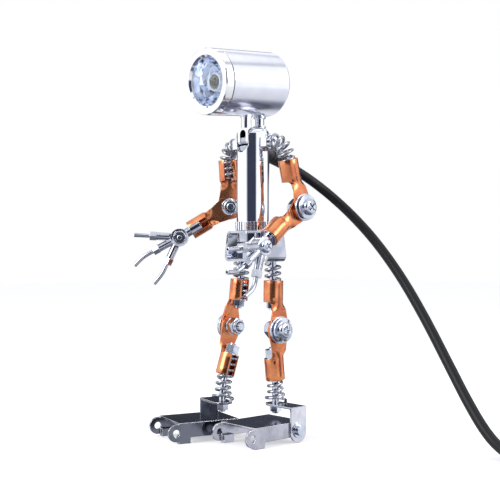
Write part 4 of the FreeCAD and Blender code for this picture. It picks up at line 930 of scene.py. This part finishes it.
# Feet: channel of nickel plated steel, bent from sheet, with two ears at the toe, on an angle
# bracket screwed to the outer wall. Darker than the chrome. The same nickel is painted at three
# levels: the right foot and its bracket very dark, as painted shade, and the left bracket lighter
# than the left foot, as painted light. All of them have a painted highlight along their edges.
nickel_painted_shade = metal("nickel_painted_shade", ((0.15, 0.16, 0.20), (0.09, 0.10, 0.13)), 0.16, 0.05,
                     edge=0.8 * MM, rim=(0.85, 0.86, 0.90))
nickel = metal("dark_nickel", ((0.52, 0.52, 0.58), (0.40, 0.40, 0.46)), 0.15, 0.05,
               edge=0.8 * MM, rim=(0.92, 0.93, 0.96))
nickel_painted_light = metal("nickel_painted_light_bracket", ((0.70, 0.70, 0.76), (0.58, 0.58, 0.65)), 0.12, 0.04,
                      edge=0.7 * MM, rim=(0.94, 0.95, 0.98))
dress(nickel_painted_shade, "foot_channel_right", "ankle_bracket_right")
dress(nickel, "foot_channel_left")
dress(nickel_painted_light, "ankle_bracket_left")


# Mains cord: black, round and fairly stiff. It leaves the back through a ribbed strain relief,
# falls to the table in one bow, and its unseen length is wound up beside the lamp.
CORD_RADIUS = 3.75 * MM
GLAND_HEIGHT = 218.0 * MM
GLAND_SLOPE = radians(20)
GLAND_SEAT = 15.2 * MM
GLAND_FLANGE = 3.0 * MM
GLAND_TIP = 22.0 * MM
GLAND_RADIUS = 5.8 * MM
GLAND_TIP_RADIUS = 4.5 * MM
GLAND_NECK = 4.8 * MM
GLAND_SUNK = 2.2 * MM
CORD_STRAIGHT = 14.0 * MM
CORD_ROUTE = [
    (2.3, 65.0, 192.1),
    (10.6, 76.6, 180.9),
    (24.2, 85.2, 165.9),
    (42.9, 90.8, 145.9),
    (66.9, 91.9, 119.0),
    (92.3, 88.7, 88.4),
    (117.0, 83.4, 57.3),
    (138.5, 77.7, 31.6),
    (157.6, 71.9, 13.6),
    (173.9, 67.0, 5.6),
    (191.1, 61.8, 3.75),
    (199.7, 59.2, 3.75),
]
cord_black = plain("cord_sheath", (0.004, 0.004, 0.006), 0.42, bump=0.1, scale=300.0,
                   Specular_IOR_Level=0.3)
gland_way = Vector((0, cos(GLAND_SLOPE), -sin(GLAND_SLOPE)))
gland_root = BODY_AXIS + Vector((0, 0, GLAND_HEIGHT))
gland_mouth = gland_root + gland_way * (GLAND_SEAT + GLAND_FLANGE + GLAND_TIP)
route = [gland_mouth, gland_mouth + gland_way * CORD_STRAIGHT]
route += [BODY_AXIS + Vector(point) * MM for point in CORD_ROUTE]

COIL_PITCH = 8.0 * MM
COIL_INNER = 32.0 * MM
LAYER_TURNS = 2.537
COIL_LEAD = 6.0 * MM
COIL_TAIL = 26.0 * MM
KNOTS_PER_TURN = 16
heading = (route[-1] - route[-2]).normalized()
inward = COIL_PITCH / (2 * pi)
layer_angle = 2 * pi * LAYER_TURNS
full_angle = 2 * layer_angle + pi
outer_turn = COIL_INNER + inward * full_angle / 2
coil_start = route[-1] + heading * COIL_LEAD
start_side = Quaternion((0, 0, 1), -pi / 2 - inward / outer_turn) @ heading
coil_centre = coil_start - start_side * outer_turn


def coil_point(angle, spread=1.0):
    """In along the table, up a layer in the half turn where it reverses, and out on top."""
    radius = (outer_turn - inward * min(angle, full_angle - angle)) * spread
    climbed = min(max((angle - layer_angle) / pi, 0), 1)
    rise_by = COIL_PITCH * (1 - cos(pi * climbed)) / 2
    side_way = Quaternion((0, 0, 1), angle) @ start_side
    return coil_centre + side_way * radius + Vector((0, 0, rise_by))


knots = round(full_angle / (2 * pi) * KNOTS_PER_TURN)
spread = 1 / cos(pi / KNOTS_PER_TURN)
coil_end = coil_point(full_angle)
end_way = (coil_end - coil_point(full_angle - 1e-4)).normalized()
cord_points = route + [coil_point(full_angle * (i + 0.5) / knots, spread) for i in range(knots)]
cord_points += [coil_end + end_way * (COIL_TAIL * share) for share in (0.45, 1.0)]
cord = curve_piece("mains_cord", cord_points, CORD_RADIUS, cord_black, "torso", kind="NURBS")
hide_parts("cord_run", "cord_coil")

relief = [(GLAND_NECK, -GLAND_SUNK), (GLAND_RADIUS, 0), (GLAND_RADIUS, GLAND_FLANGE * 0.8),
          (GLAND_RADIUS * 0.93, GLAND_FLANGE)]
RIBS = 7
for rib in range(RIBS):
    start = GLAND_FLANGE + GLAND_TIP * rib / RIBS
    step = GLAND_TIP / RIBS
    thick = GLAND_RADIUS + (GLAND_TIP_RADIUS - GLAND_RADIUS) * rib / RIBS
    relief += [(thick * 0.86, start + step * 0.12), (thick * 0.86, start + step * 0.34),
               (thick * 0.98, start + step * 0.46), (thick * 0.97, start + step * 0.94)]
relief += [(GLAND_TIP_RADIUS * 0.98, GLAND_FLANGE + GLAND_TIP), (CORD_RADIUS, GLAND_FLANGE
                                                                  + GLAND_TIP)]
gland = mesh_piece("strain_relief", *lathe(relief, placed(gland_root + gland_way * GLAND_SEAT,
                                                          gland_way), 40), black_plastic,
                   "torso", slot="black_plastic")
by_angle(gland, 40)
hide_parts("cable_gland")

PLUG_RELIEF = 12.0 * MM
PLUG_BODY = 26.0 * MM
PLUG_BACK = 8.0 * MM
PLUG_RADIUS = 11.6 * MM
PLUG_NECK = 4.6 * MM
PLUG_RIBS = 4
plug_profile = [(CORD_RADIUS, 0), (PLUG_NECK, 0)]
for rib in range(PLUG_RIBS):
    start = PLUG_RELIEF * rib / PLUG_RIBS
    thick = PLUG_NECK + (PLUG_BACK - PLUG_NECK) * rib / PLUG_RIBS
    plug_profile += [(thick, start + 0.4 * MM), (thick + 0.5 * MM, start + 2.0 * MM),
                     (thick * 0.9, start + 2.3 * MM)]
plug_end = PLUG_RELIEF + PLUG_BODY
plug_profile += [(PLUG_BACK, PLUG_RELIEF), (PLUG_BACK * 1.1, PLUG_RELIEF + 3 * MM),
                 (PLUG_BACK * 1.12, PLUG_RELIEF + 7 * MM),
                 (PLUG_RADIUS * 0.93, PLUG_RELIEF + 11 * MM), (PLUG_RADIUS, PLUG_RELIEF + 14 * MM),
                 (PLUG_RADIUS, plug_end - 1 * MM), (PLUG_RADIUS * 0.93, plug_end), (0, plug_end)]
plug_place = placed(coil_end + end_way * COIL_TAIL, end_way, (0, 0, 1))
plug = mesh_piece("moulded_plug", *lathe(plug_profile, plug_place, 48), black_plastic, "torso",
                  slot="black_plastic")
by_angle(plug, 40)
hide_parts("plug_body")
plug_brass = metal("plug_brass", ((0.90, 0.75, 0.42), (0.80, 0.66, 0.36)), 0.2, 0.08)
dress(plug_brass, "plug_blades")
